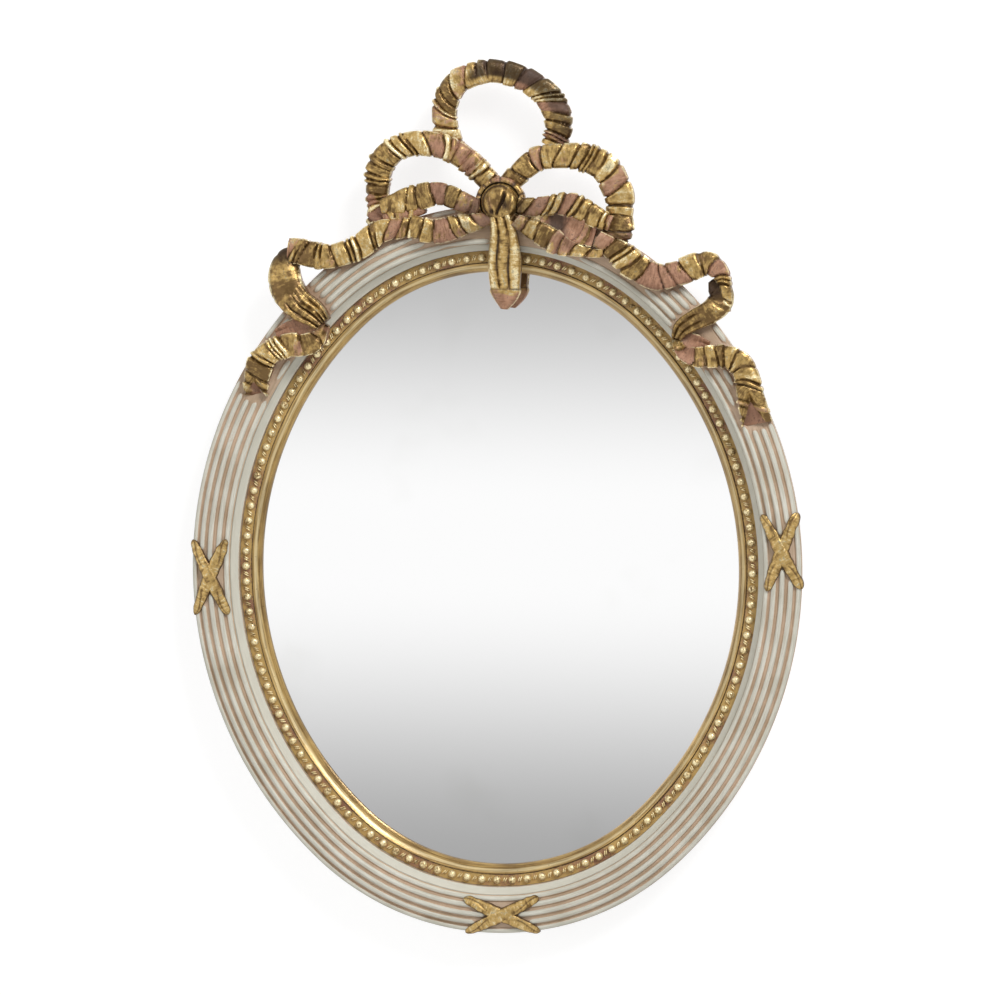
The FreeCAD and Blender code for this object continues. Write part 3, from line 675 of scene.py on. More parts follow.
@dataclass(frozen=True)
class Ribbon:
    """One carved ribbon: stations of (angle, offset, width, rise above its layer) and how it is carved."""

    name: str
    stations: tuple[tuple[float, ...], ...]
    seed: int
    tuck: Tuck = Tuck.PLEATED
    layer: float = REED_TOP
    back: float = 31.0
    swell: float = 0.0
    crown: float = 2.4
    hollow: Ramp = even(0.0)
    blush: Ramp = even(0.27)
    # Painted shade along the ribbon, where it turns its inside or underside from the light
    gloom: Ramp = even(0.0)
    notch: tuple[float, float, float, float] = (0.0, 0.0, -1.0, 1.0)
    undercut: Ramp = even(0.0)
    pitch: float = 10.0
    amplitude: float = 3.2
    flutes: tuple[float, ...] = (-1.02, -0.36, 0.28, 1.02)
    hem: float = 2.0
    # Side across the ribbon that is lit, where the painted shade fades out
    lit_side: float = 0.0
    room: float = 0.0
    round_start: float = 0.0
    # Strength of the painted shade on the flanks
    side_shade: float = 1.0
    columns: int = 27
    step: float = 0.8
    margin: float = 0.3
    level: float = 0.8
    draw: tuple[float, ...] = (0.0, 0.16, 0.42)
    fall: tuple[float, ...] = (0.22, 0.6, 1.0)
    flat_share: float = 0.66
    slant: float = 0.35
    sway: float = 0.28
    pinch: float = 0.22
    dish: float = 4.5
    edge_drop: float = 0.8
    frill: float = 0.9
    mouth_drop: float = 5.0
    back_step: float = 0.13

    def line(self, oval: Oval) -> tuple[Array, Array, Array, Array, Array]:
        """The ribbon's centreline, finely divided.

        Args:
            oval: The oval that carries it.

        Returns:
            Run, points, directions across, half widths and fronts along the line.
        """
        points = np.array([oval.point(*station[:2]) for station in self.stations])
        knots = np.concatenate([[0.0], np.cumsum(np.hypot(*np.diff(points, axis=0).T))])
        run = np.linspace(0.0, knots[-1], max(int(knots[-1] / self.step), 12) + 1)
        line = spline(knots, points, run)
        width, rise = spline(knots, np.array([(*station, 0.0)[2:4] for station in self.stations]), run).T
        ahead = np.gradient(line, axis=0)
        ahead /= np.hypot(ahead[:, 0], ahead[:, 1])[:, None]
        across = np.stack([-ahead[:, 1], ahead[:, 0]], axis=1)
        if np.dot(across[-1], line[-1]) < 0.0:
            across = -across
        return run, line, across, width / 2.0 - self.margin, self.layer + rise

    def gathers(self, run: Array, across: Array, length: float) -> Marks:
        """Pleats along the ribbon, flat facets among narrow ridges, some fading out across it.

        Args:
            run: Distance along the ribbon for each point.
            across: Place across it, from -1 to 1.
            length: Its whole length.

        Returns:
            Height, crease (painted shade), tint and shine (strength of the painted highlight) of the pleat at each
            point.
        """
        dice = np.random.default_rng(self.seed)
        edges, pleats = [-20.0], []
        while edges[-1] < length + 20.0:
            flat = dice.random() < self.flat_share
            edges.append(edges[-1] + self.pitch * (dice.uniform(0.75, 1.45) if flat else dice.uniform(0.3, 0.5)))
            pleats.append((
                float(flat),
                dice.uniform(0.55, 0.85) if flat else dice.uniform(0.85, 1.2),
                dice.choice([-0.3, -0.22, 0.02, 0.38]) if flat else dice.choice([-0.3, -0.1, 0.3]),
                dice.uniform(-0.5, 0.5) if flat else 0.0,
                dice.choice([-1.0, 0.0, 0.0, 1.0]),
                dice.uniform(0.1, 0.85),
                dice.uniform(0.3, 1.3),
            ))
        bounds = np.array(edges)
        pick = np.clip(np.searchsorted(bounds, run, side="right") - 1, 0, len(pleats) - 1)
        flat, tall, tint, lean, side, dark, shine = np.array(pleats).T[:, pick]
        wide = bounds[pick + 1] - bounds[pick]
        share = np.clip((run - bounds[pick]) / wide, 0.0, 1.0)
        near = np.minimum(share, 1.0 - share) * wide
        facet = ease(near, 0.0, 2.1) * (1.0 + lean * (2.0 * share - 1.0))
        ridge = np.clip(np.sin(math.pi * share), 0.0, 1.0) ** 0.7
        reach = np.where(side == 0.0, 1.0, 0.15 + 0.85 * ease(across * side, -0.7, 0.5))
        return {
            "hump": (self.level + (np.where(flat > 0.5, facet, ridge) - self.level) * reach) * tall,
            "crease": (1.0 - ease(near, 0.0, 1.9)) * reach * dark,
            "tint": tint,
            "shine": shine,
        }

    def folds(self, across: Array, share: Array) -> Marks:
        """Folds along the ribbon, with a rolled hem where it has one.

        Args:
            across: Place across the ribbon, from -1 to 1.
            share: Place along it, from 0 to 1.

        Returns:
            Height, crease (painted shade), tint and shine (strength of the painted highlight) of the fold at each
            point.
        """
        bounds = np.array(self.flutes)
        waver = across + 0.05 * np.sin(9.0 * share + 2.0 * across + self.seed)
        pick = np.clip(np.searchsorted(bounds, waver, side="right") - 1, 0, len(bounds) - 2)
        wide = bounds[pick + 1] - bounds[pick]
        part = np.clip((waver - bounds[pick]) / wide, 0.0, 1.0)
        dice = np.random.default_rng(self.seed + 900)
        tall = dice.uniform(0.75, 1.15, len(bounds) - 1)[pick]
        late = dice.uniform(-0.2, 0.35, len(bounds))[pick + (part > 0.5)]
        hem = ease(share, self.hem - 0.03, self.hem + 0.03)
        near = np.minimum(part, 1.0 - part) * wide * 13.0
        inner = 1.0 - ease(np.abs(across), 0.75, 0.95)
        fade = 0.15 + 0.85 * np.sin(math.pi * np.clip(share * 1.4 - late, 0.0, 1.0))
        fold = (1.0 - ease(near, 0.1, 1.6)) * (1.0 - hem) * fade * inner * 0.85
        return {
            "hump": np.sin(math.pi * part) ** 0.6 * tall * (1.0 - hem) + hem * 0.85,
            "crease": np.maximum(fold, 0.7 * bell(share - self.hem, 0.014)),
            "tint": 0.4 * ease(share, self.hem, self.hem + 0.1) - 0.25 * (1.0 - hem) + 0.0 * across,
            "shine": 0.78 * tall,
        }

    def carve(self, oval: Oval) -> tuple[Array, Marks]:
        """The ribbon's skin: a gathered front, sides that draw in, and a back.

        Args:
            oval: The oval that carries it.

        Returns:
            Grid of points and their marks.
        """
        run, line, across, half, front = self.line(oval)
        length, rows = run[-1], run[:, None]
        v = np.linspace(-1.0, 1.0, self.columns)[None, :]
        depth, apex, low, high = self.notch
        slopes = (v - low) / max(apex - low, 0.05), (high - v) / max(high - apex, 0.05)
        mouth = np.clip(np.where(v < apex, *slopes), 0.0, 1.0)
        reach = rows - depth * mouth * ease(rows, length - 2.2 * depth - 1.0, length)
        share, spread = reach / length, v + 0.0 * reach

        def read(values: Array) -> Array:
            """Values of the line at each point's own reach."""
            return np.interp(reach, run, values)

        dice = np.random.default_rng(self.seed + 500)
        slant = dice.uniform(-self.slant, self.slant) + self.sway * np.sin(0.07 * reach + self.seed)
        width = read(half) * np.sqrt(np.clip(reach / max(self.round_start, 0.01), 0.02, 1.0))
        bent = reach + slant * v * width + 0.8 * np.sin(2.2 * v + reach * 0.05 + self.seed)
        fold = self.folds(spread, share) if self.tuck is Tuck.FLUTED else self.gathers(bent, spread, length)
        if self.tuck is Tuck.ROLLED:
            draped, turn = self.folds(spread, share), ease(share, 0.42, 0.72)
            calmed = {
                "hump": (0.75, 0.25, 1.0), "crease": (0.0, 0.4, 1.0),
                "tint": (0.0, 1.0, 1.0), "shine": (0.0, 0.42, 0.6),
            }
            fold = {
                name: (base + early * fold[name]) * (1.0 - turn) + late * draped[name] * turn
                for name, (base, early, late) in calmed.items()
            }
        hump = fold["hump"]
        raised, hollow, out = np.clip(hump, 0.0, 1.0), along_ramp(self.hollow, share), np.abs(v)
        width = width * (1.0 - self.pinch * (1.0 - raised) * out ** 3)
        ruffle = np.sin(2.0 * math.pi * bent / (2.3 * self.pitch) + self.seed) * out ** 3
        edge = ease(out, 0.72, 1.0)
        height = (
            read(front) + self.swell * np.sin(math.pi * np.clip(share, 0.0, 1.0))
            - self.crown * out ** 2.4 * (1.0 - hollow) - self.dish * hollow * (1.0 - out ** 1.6)
            + self.amplitude * (hump - self.level) - self.edge_drop * edge
            + (self.frill * ruffle - self.frill if self.tuck is Tuck.PLEATED else 0.0)
            - self.mouth_drop * mouth * ease(rows, length - depth, length + 0.01) * (depth > 0.0)
        )
        x, z = (read(line[:, axis]) + read(across[:, axis]) * v * width for axis in (0, 1))
        # Painted light: ridge and rim carry highlights; crease, gloom and side carry shade, down the flanks too; blush
        # is the bole
        faces = {
            "ridge": np.clip(hump, 0.0, 1.2) * fold["shine"],
            "crease": fold["crease"],
            "rim": edge * (0.55 + 0.45 * raised),
            "blush": along_ramp(self.blush, share) + fold["tint"],
            "gloom": along_ramp(self.gloom, share + 0.05 * v) * (1.0 - 0.85 * ease(v * self.lit_side, 0.1, 0.6)),
            "side": np.zeros_like(height),
        }
        faces["blush"][-1] += 0.8 * (depth > 0.0)
        back = (self.back + self.back_step * (self.seed % 10) - along_ramp(self.undercut, run / length))[:, None]
        grid = oval.row(
            skirted(x, (x[:, [-4]], x[:, [3]]), self.draw), skirted(height, (back, back), self.fall),
            skirted(z, (z[:, [-4]], z[:, [3]]), self.draw),
        )
        sides = {
            "side": (self.side_shade, (0.6, 1.0, 1.0)), "rim": (0.0, (1.0, 1.0, 1.0)),
            "gloom": (0.0, (0.76, 0.92, 1.0)),
        }
        same = 0.0, (0.0, 0.0, 0.0)
        marks = {}
        for name, values in {**faces, "lap": spread}.items():
            foot, shares = sides.get(name, same)
            marks[name] = skirted(values, (foot, foot), shares)
        lap = marks.pop("lap")
        marks["lay"] = np.stack([rows + 0.0 * lap, lap * half[:, None], 0.0 * lap + self.seed], axis=-1)
        return grid, marks


@dataclass
class RibbonCrest:
    """The bow, its tails and the knot, carved as ribbons that cross and tuck under each other."""

    oval: Oval
    finishes: Finishes
    loop_back: float = 22.0
    top_back: float = 17.0
    top_front: float = 31.0
    knot_radius: float = 16.0
    knot_rise: float = 15.0
    knot_place: tuple[float, float] = (88.3, 55.5)

    def loops(self) -> list[Ribbon]:
        """The three loops at the back.

        Returns:
            One ribbon for each loop.
        """
        return [
            Ribbon("top_loop", (
                (97.3, 99.5, 21), (98.2, 113.5, 22), (98.2, 128.5, 22), (97.4, 141.0, 22), (95.9, 151.0, 22),
                (93.4, 157.0, 22), (90.7, 159.5, 21), (87.8, 157.5, 22), (85.0, 152.5, 22), (82.2, 143.5, 24),
                (80.4, 132.5, 25), (79.5, 119.0, 24), (79.9, 103.5, 22),
            ), 11, layer=self.top_front, back=self.top_back, swell=2.5, crown=3.0, lit_side=1.0,
                blush=((0.0, 0.2), (0.4, 0.05), (0.62, 0.4), (1.0, 0.35)),
                gloom=((0.0, 0.4), (0.12, 0.2), (0.36, 0.05), (0.42, 1.0),
                       (0.56, 1.0), (0.66, 0.75), (0.85, 0.6), (1.0, 0.5))),
            Ribbon("left_upper_loop", (
                (89.2, 65.5, 19), (91.7, 75.5, 20), (94.2, 87.0, 22), (96.7, 96.5, 22), (99.4, 104.0, 22),
                (102.2, 108.5, 22), (105.4, 110.5, 22), (108.3, 108.0, 23), (110.7, 100.5, 24), (112.2, 89.0, 22),
                (113.3, 78.0, 20), (113.9, 67.0, 19),
            ), 12, back=self.loop_back, swell=3.0, crown=3.0,
                blush=((0.0, 0.3), (0.3, 0.2), (0.7, 0.05), (1.0, 0.35)),
                gloom=((0.0, 0.45), (0.2, 0.25), (0.5, 0.0), (1.0, 0.15))),
            Ribbon("right_upper_loop", (
                (88.0, 65.5, 18), (85.9, 76.0, 19), (83.7, 86.0, 21), (81.8, 93.0, 22), (79.2, 97.0, 22),
                (76.6, 99.5, 22), (74.0, 101.5, 25), (71.5, 101.0, 26), (69.1, 97.5, 26), (67.2, 90.0, 26),
                (65.4, 82.5, 26), (64.4, 73.5, 24), (63.4, 65.5, 21),
            ), 13, back=self.loop_back, swell=3.0, crown=3.0,
                blush=((0.0, 0.3), (0.3, 0.05), (0.7, 0.2), (1.0, 0.3)),
                gloom=((0.0, 0.4), (0.15, 0.1), (0.5, 0.0), (1.0, 0.15))),
        ]

    def bands(self) -> list[Ribbon]:
        """The four bands that fan from the knot, and the pendant end.

        Returns:
            One ribbon for each.
        """
        # Painted shade on the bands next to the knot
        near_knot: Ramp = ((0.0, 0.65), (0.2, 0.42), (0.45, 0.28), (1.0, 0.2))
        return [
            Ribbon("left_middle_band", (
                (92.7, 52.5, 14, 11), (95.3, 55.5, 18, 11), (98.0, 61.5, 20, 11), (101.2, 67.0, 21, 10),
                (104.5, 67.5, 23, 9), (107.4, 68.0, 23, 9), (110.2, 68.5, 19, 8), (113.0, 70.0, 14, 7),
            ), 21, back=REED_TOP, gloom=near_knot),
            Ribbon("right_middle_band", (
                (84.4, 54.5, 16, 11), (80.9, 55.0, 17, 11), (77.3, 59.0, 18, 10), (74.1, 63.0, 21, 10),
                (71.1, 62.5, 22, 10), (67.7, 61.0, 19, 9), (64.5, 61.0, 14, 9),
            ), 22, back=REED_TOP, gloom=near_knot),
            Ribbon("left_lower_band", (
                (89.4, 45.5, 12, 10), (92.3, 41.5, 14, 11), (95.5, 39.5, 18, 12), (99.3, 38.0, 22, 12),
                (102.9, 37.5, 22, 12), (106.1, 42.5, 21, 11), (108.4, 49.0, 18, 10),
            ), 23, gloom=near_knot),
            Ribbon("right_lower_band", (
                (86.9, 46.0, 11, 10), (84.0, 41.5, 13, 11), (80.7, 38.0, 18, 12), (77.6, 35.0, 21, 12),
                (73.9, 31.0, 21, 12), (70.4, 30.5, 14, 11), (66.4, 32.5, 9, 10), (63.1, 37.0, 7, 9),
            ), 24, gloom=near_knot, hollow=((0.0, 0.0), (0.45, 0.0), (0.6, 0.7), (1.0, 0.5)),
                blush=((0.0, 0.1), (0.5, 0.2), (0.7, 0.5), (1.0, 0.4))),
            Ribbon("pendant", (
                (88.1, 46.5, 22, 10), (87.3, 35.0, 24, 10), (87.0, 19.0, 28, 4), (87.1, 5.0, 31, -1),
                (86.8, -8.0, 30, -3), (86.6, -19.0, 23, -4), (86.8, -29.0, 7, -6),
            ), 25, Tuck.FLUTED, crown=4.6, amplitude=2.6, columns=41, hem=0.79, side_shade=0.3,
                undercut=((0.0, 0.0), (0.4, 0.0), (0.44, 9.4), (1.0, 9.4)), flutes=(-1.02, -0.28, 0.34, 1.02),
                blush=((0.0, 0.55), (0.25, 0.36), (1.0, 0.36)), gloom=((0.0, 0.5), (0.15, 0.05), (1.0, 0.1))),
        ]

    def webs(self) -> list[Ribbon]:
        """The low carved ground that fills in between the bands.

        Returns:
            One ribbon for each.
        """
        hollowed = {
            "tuck": Tuck.ROLLED, "hollow": even(0.7), "gloom": ((0.0, 0.55), (0.4, 0.2), (1.0, 0.1)),
            "pitch": 14.0, "amplitude": 0.8,
        }
        turned_in = {"gloom": ((0.0, 0.2), (0.5, 0.45), (1.0, 0.6)), "amplitude": 2.0}
        return [
            Ribbon("left_tail_hollow", (
                (136.6, 26.0, 10, 4), (138.2, 28.5, 17, 5), (139.9, 33.0, 20, 5), (141.6, 39.0, 18, 5),
                (143.0, 45.0, 10, 4),
            ), 28, blush=even(0.95), **hollowed),
            Ribbon("right_tail_hollow", (
                (40.2, 29.0, 9, 4), (38.8, 29.5, 14, 5), (37.4, 33.0, 16, 5), (36.2, 38.0, 12, 4),
            ), 29, blush=even(1.0), **hollowed),
            Ribbon("left_join", (
                (113.7, 72.0, 19, -0.5), (114.6, 64.0, 20, 1), (115.3, 56.0, 20, 3), (115.5, 49.0, 16, 3),
            ), 48, blush=((0.0, 0.4), (1.0, 0.5)), **turned_in),
            Ribbon("right_join", (
                (64.2, 71.0, 23, -0.5), (63.4, 64.5, 27, 1), (62.8, 56.5, 29, 2), (62.4, 49.0, 22, 2),
            ), 42, blush=even(0.5), **turned_in),
            Ribbon("left_web", (
                (104.4, 56.0, 6, 5), (106.4, 57.5, 11, 6), (108.8, 58.5, 12, 6), (111.2, 60.0, 11, 6),
                (113.4, 62.0, 8, 5),
            ), 26, blush=even(0.6), amplitude=1.6),
            Ribbon("right_web", (
                (83.6, 48.0, 9, 7), (80.0, 47.0, 13, 8), (76.6, 46.5, 17, 8), (73.2, 46.0, 21, 8), (69.8, 45.5, 23, 8),
                (66.6, 46.5, 20, 7),
            ), 27, blush=((0.0, 0.75), (1.0, 0.7)), amplitude=1.6, hollow=((0.0, 0.2), (0.4, 0.9), (1.0, 0.8)),
                gloom=((0.0, 0.5), (0.3, 0.2), (0.42, 0.8), (0.55, 0.75), (0.68, 0.1), (1.0, 0.1))),
        ]

    def tails(self) -> list[Ribbon]:
        """The two tails, each an upper run, a curl and a swallow-tailed end.

        Returns:
            One ribbon for each run.
        """
        turned: Ramp = ((0.0, 0.9), (0.2, 0.8), (0.4, 0.1), (1.0, 0.0))
        return [
            Ribbon("left_tail_upper", (
                (107.0, 45.5, 15, 8), (109.7, 47.5, 18, 9), (112.6, 50.5, 19, 9), (115.7, 52.5, 21, 9),
                (120.0, 49.5, 22, 10), (123.9, 51.5, 21, 11), (127.2, 56.5, 22, 11), (129.7, 65.5, 23, 11),
                (131.5, 75.5, 23, 10), (132.9, 82.5, 21, 9),
            ), 31),
            Ribbon("left_tail_curl", (
                (131.9, 76.0, 14, 2), (134.0, 76.5, 22, 4), (135.7, 70.5, 27, 8), (136.9, 59.0, 29, 10),
                (137.2, 44.0, 29, 11), (136.8, 32.0, 24, 11), (136.9, 21.0, 16, 10),
            ), 32, Tuck.ROLLED, crown=3.4, pitch=15.0, flutes=(-1.02, -0.5, 0.05, 0.3, 0.62, 1.02),
                blush=((0.0, 0.1), (0.6, 0.05), (1.0, 0.2)),
                gloom=((0.0, 0.9), (0.14, 0.75), (0.24, 0.0), (0.85, 0.05), (1.0, 0.55))),
            Ribbon("left_tail_end", (
                (136.8, 20.0, 9, 5), (138.1, 17.0, 11, 7), (139.7, 16.5, 18, 9), (141.4, 21.0, 20, 10),
                (142.7, 29.5, 21, 11), (144.4, 36.5, 21, 11), (146.4, 41.5, 22, 11), (148.3, 41.0, 24, 10),
                (150.4, 38.0, 23, 7), (152.5, 33.0, 22, 4),
            ), 33, amplitude=3.0, hollow=turned, room=2.0, notch=(11.0, 0.2, -0.85, 0.85),
                blush=((0.0, 0.55), (0.3, 0.45), (0.45, 0.1), (1.0, 0.05)),
                gloom=((0.0, 0.35), (0.3, 0.15), (0.5, 0.0), (0.75, 0.1), (1.0, 0.45))),
            Ribbon("right_tail_upper", (
                (65.9, 45.5, 14, 9), (62.6, 44.5, 18, 10), (58.8, 43.0, 25, 11), (53.6, 42.0, 24, 11),
                (49.8, 46.0, 24, 11), (47.7, 55.5, 22, 11), (46.5, 64.5, 23, 11), (45.9, 73.5, 23, 11),
                (44.8, 81.5, 21, 11), (43.2, 83.0, 16, 10), (41.7, 80.0, 12, 9), (40.1, 74.0, 9, 7), (38.7, 66.5, 7, 6),
            ), 34),
            Ribbon("right_tail_curl", (
                (43.2, 70.5, 11, 2), (41.6, 72.5, 20, 3), (40.4, 68.5, 22, 5), (40.0, 58.5, 20, 8), (40.3, 49.5, 20, 9),
                (40.7, 39.5, 19, 10), (40.8, 30.0, 17, 10), (40.2, 23.0, 12, 9),
            ), 35, Tuck.ROLLED, crown=2.8, pitch=12.0, round_start=3.0,
                blush=((0.0, 0.4), (0.5, 0.15), (1.0, 0.3)),
                gloom=((0.0, 0.95), (0.16, 0.85), (0.3, 0.4), (0.5, 0.15), (1.0, 0.3))),
            Ribbon("right_tail_end", (
                (40.6, 24.5, 9, 5), (39.3, 20.0, 10, 7), (37.4, 20.5, 14, 9), (36.2, 25.5, 18, 10),
                (35.2, 33.0, 19, 11), (34.3, 41.0, 20, 11), (32.9, 49.0, 21, 11), (31.2, 52.5, 22, 11),
                (29.3, 51.0, 22, 10), (27.4, 47.5, 24, 9), (25.2, 44.5, 26, 7), (22.8, 42.0, 28, 4),
            ), 36, amplitude=3.0, hollow=turned, room=1.0, notch=(19.0, -0.1, -0.9, 0.55),
                blush=((0.0, 0.6), (0.3, 0.45), (0.45, 0.05), (1.0, 0.2)),
                gloom=((0.0, 0.3), (0.3, 0.1), (0.5, 0.0), (1.0, 0.2))),
        ]

    def cover(self) -> Array:
        """Where ribbons lie over the reeds.

        Returns:
            Rows of x, z, half width and the room left beside it, along their centrelines.
        """
        rows = []
        for ribbon in self.bands() + self.tails():
            run, line, _, half, _ = ribbon.line(self.oval)
            if ribbon.notch[0]:
                half = np.minimum(half, run[-1] - run + 2.0)
            clear = ribbon.room * ease(np.linspace(0.0, 1.0, len(line)), 0.5, 0.8)
            rows.append(np.column_stack([line, half, clear])[::4])
        return np.concatenate(rows)

    def knot(self) -> Object:
        """The knot: a domed boss with upright folds, on a gathered flange.

        Returns:
            The piece.
        """
        dome = np.linspace(0.04, 0.97, 34)
        rings = np.concatenate([dome, [1.0, 1.02, 1.1, 1.2, 1.26, 1.28, 1.26, 1.1]])[:, None]
        domed = (self.knot_rise - 1.2) * (1.0 - dome ** 2.8) ** 0.6
        rise = np.concatenate([domed, [1.0, 4.0, 4.6, 4.2, 2.6, 0.0, -4.0, -6.0]])[:, None]
        turn = np.linspace(0.0, 2.0 * math.pi, 120, endpoint=False)[None, :]
        side, up = rings * np.cos(turn), rings * np.sin(turn)
        boss, flange = 1.0 - ease(rings, 0.9, 1.0), ease(rings, 1.0, 1.04)

        def upright(place: float, sway: float, top: float) -> Array:
            """A fold that runs up the boss and dies out at both ends."""
            dying = 1.0 - ease(np.abs(up + 0.04), 0.55 * top, top)
            return dying * bell(side - place - sway * np.sin(2.7 * up + 0.3), 0.075)

        middle = upright(0.1, 0.2, 0.72)
        lines = [
            middle, 0.55 * upright(0.52, 0.12, 0.5), 0.45 * upright(-0.45, -0.14, 0.55),
            0.85 * bell(rings - 0.8 - 0.04 * np.cos(turn - 2.0), 0.05) * ease(np.cos(turn - 2.6), -0.35, 0.35),
            0.6 * bell(rings - 0.86 - 0.05 * np.cos(2.0 * turn), 0.05) * ease(np.cos(turn + 0.6), 0.1, 0.7),
        ]
        pocket = bell(side - 0.32, 0.15) * bell(up + 0.1, 0.3) + 0.8 * bell(side + 0.34, 0.13) * bell(up + 0.45, 0.15)
        gather = ease(np.cos(13.0 * turn + 1.6 * np.sin(3.0 * turn)), 0.45, 1.0) * flange
        crease = np.maximum(np.max(np.stack(lines), axis=0) * boss, 0.75 * gather)
        h = REED_TOP + rise - (2.4 * crease + 2.2 * pocket + 1.2 * middle) * boss - 1.1 * gather
        x0, z0 = self.oval.point(*self.knot_place)
        x, z = x0 + self.knot_radius * side, z0 + self.knot_radius * up
        flat = np.ones_like(x)
        # Painted shade: gloom darkens the pockets, the middle fold, the dome towards its rim and the flange's edge;
        # ridge and rim paint highlights on the boss
        gloom = 0.9 * pocket * boss + 0.35 * middle + 0.25 * boss * rings + 0.8 * bell(rings - 1.01, 0.05)
        shell = Shell("knot_boss")
        shell.grid(self.oval.row(x, h, z), {
            "ridge": 0.5 * (1.0 - crease), "crease": crease, "rim": 0.35 * boss * ease(1.0 - crease, 0.8, 1.0),
            "blush": (0.2 + 0.3 * flange) * flat, "gloom": gloom, "side": np.where(rings >= 1.27, 0.6, 0.0) * flat,
            "lay": np.stack([self.knot_radius * side, self.knot_radius * up, 7.0 * flat], axis=-1),
        })
        return shell.finish(self.finishes.ribbon)

    def build(self) -> None:
        """Carve every ribbon and the knot over their nodes, and the webs between them."""
        webs = self.webs()
        for ribbon in self.loops() + self.bands() + self.tails() + webs:
            shell = Shell(ribbon.name + "_carving")
            shell.grid(*ribbon.carve(self.oval))
            dress(shell.finish(self.finishes.ribbon), "gilt_wood", *([] if ribbon in webs else [ribbon.name]))
        dress(self.knot(), "gilt_wood", "knot")


@dataclass
class CrossTies:
    """The three crossed ties round the reeds."""

    oval: Oval
    finishes: Finishes
    angles: dict[str, float] = field(default_factory=lambda: {
        "cross_left": 181.5, "cross_right": 3.6, "cross_bottom": 272.0})
    middle: float = 37.75
    lean: float = 25.0
    half_length: float = 33.5
    half_width: float = 5.6
    thickness: float = 1.9
    crown_radius: float = 28.156
    crown_height: float = 9.244
    nick: float = 0.7
    ride_length: float = 8.0
    ride_lift: float = 0.5
    bedded: float = 2.6

    def strap(self, angle: float, lean: float, lift: float, seed: int) -> tuple[Array, Marks]:
        """One strap that follows the crowns of the reeds.

        Args:
            angle: Place of the cross on the oval.
            lean: Angle of the strap from the run of the reeds.
            lift: How far it rides over the other at the crossing.
            seed: Seed of its ragged edges.

        Returns:
            Grid of points and their marks.
        """
        arc, turned = self.oval.arc_for(angle)
        x0, z0 = self.oval.point(angle, self.middle)
        way = math.radians(turned + 90.0 + lean)
        s, v = np.linspace(-1.0, 1.0, 91)[:, None], np.linspace(-1.0, 1.0, 13)[None, :]
        run, out = s * self.half_length, np.abs(v)
        nicks = np.random.default_rng(seed).uniform(-self.nick, 0.0, (24, 1))
        half = self.half_width * (1.0 - 0.32 * np.abs(s) ** 1.5) * np.sqrt(np.clip(1.0 - np.abs(s) ** 14, 0.06, 1.0))
        half = half + spline(np.linspace(-1.0, 1.0, 24), nicks, s[:, 0])
        x = x0 + run * math.cos(way) - v * half * math.sin(way)
        z = z0 + run * math.sin(way) + v * half * math.cos(way)
        limit = self.crown_radius - 1.0
        away = np.clip(np.hypot(x - arc.x, z - arc.z) - arc.radius - self.middle, -limit, limit)
        ground = self.crown_height + np.sqrt(self.crown_radius ** 2 - away ** 2)
        round_off = np.sqrt(np.clip(1.0 - 0.9 * v ** 4, 0.0, 1.0))
        cut = bell(v - 0.45 * np.sin(5.0 * s + seed), 0.16) * ease(np.abs(s), 0.2, 0.45)
        proud = (self.thickness * round_off - 0.8 * cut) * (1.0 - 0.35 * s ** 6)
        h = ground - 0.3 + proud + lift * bell(run, self.ride_length)
        edge, back = ease(out, 0.7, 1.0), ground - self.bedded
        # Painted light: ridge paints a highlight on the strap's crown and rim a pale band inside its edges; crease is
        # painted shade in the cuts and at the edges; gloom darkens the tips
        faces = {
            "ridge": 0.72 * round_off * (1.0 - 0.5 * cut), "rim": 0.5 * ease(out, 0.4, 0.7) * (1.0 - edge) + 0.0 * h,
            "crease": np.maximum(0.6 * cut, 0.7 * edge), "blush": np.full_like(h, 0.2),
            "gloom": 0.5 * np.abs(s) ** 8 + 0.0 * h, "side": np.zeros_like(h), "lap": v * half,
        }
        marks = {name: skirted(values, (1.0, 1.0), (float(name == "side"),)) for name, values in faces.items()}
        lap = marks.pop("lap")
        marks["lay"] = np.stack([run + 0.0 * lap, lap, np.full_like(lap, float(seed))], axis=-1)
        x, z = (skirted(values, (0.0, 0.0), (0.0,)) for values in (x, z))
        return self.oval.row(x, skirted(h, (back[:, [-1]], back[:, [0]]), (1.0,)), z), marks

    def build(self) -> None:
        """Lay both straps of each cross over its node."""
        for number, (node, angle) in enumerate(self.angles.items()):
            shell = Shell(node + "_straps")
            shell.grid(*self.strap(angle, -self.lean, 0.0, 60 + number))
            shell.grid(*self.strap(angle, self.lean, self.ride_lift, 70 + number))
            dress(shell.finish(self.finishes.ribbon), "gilt_wood", node)


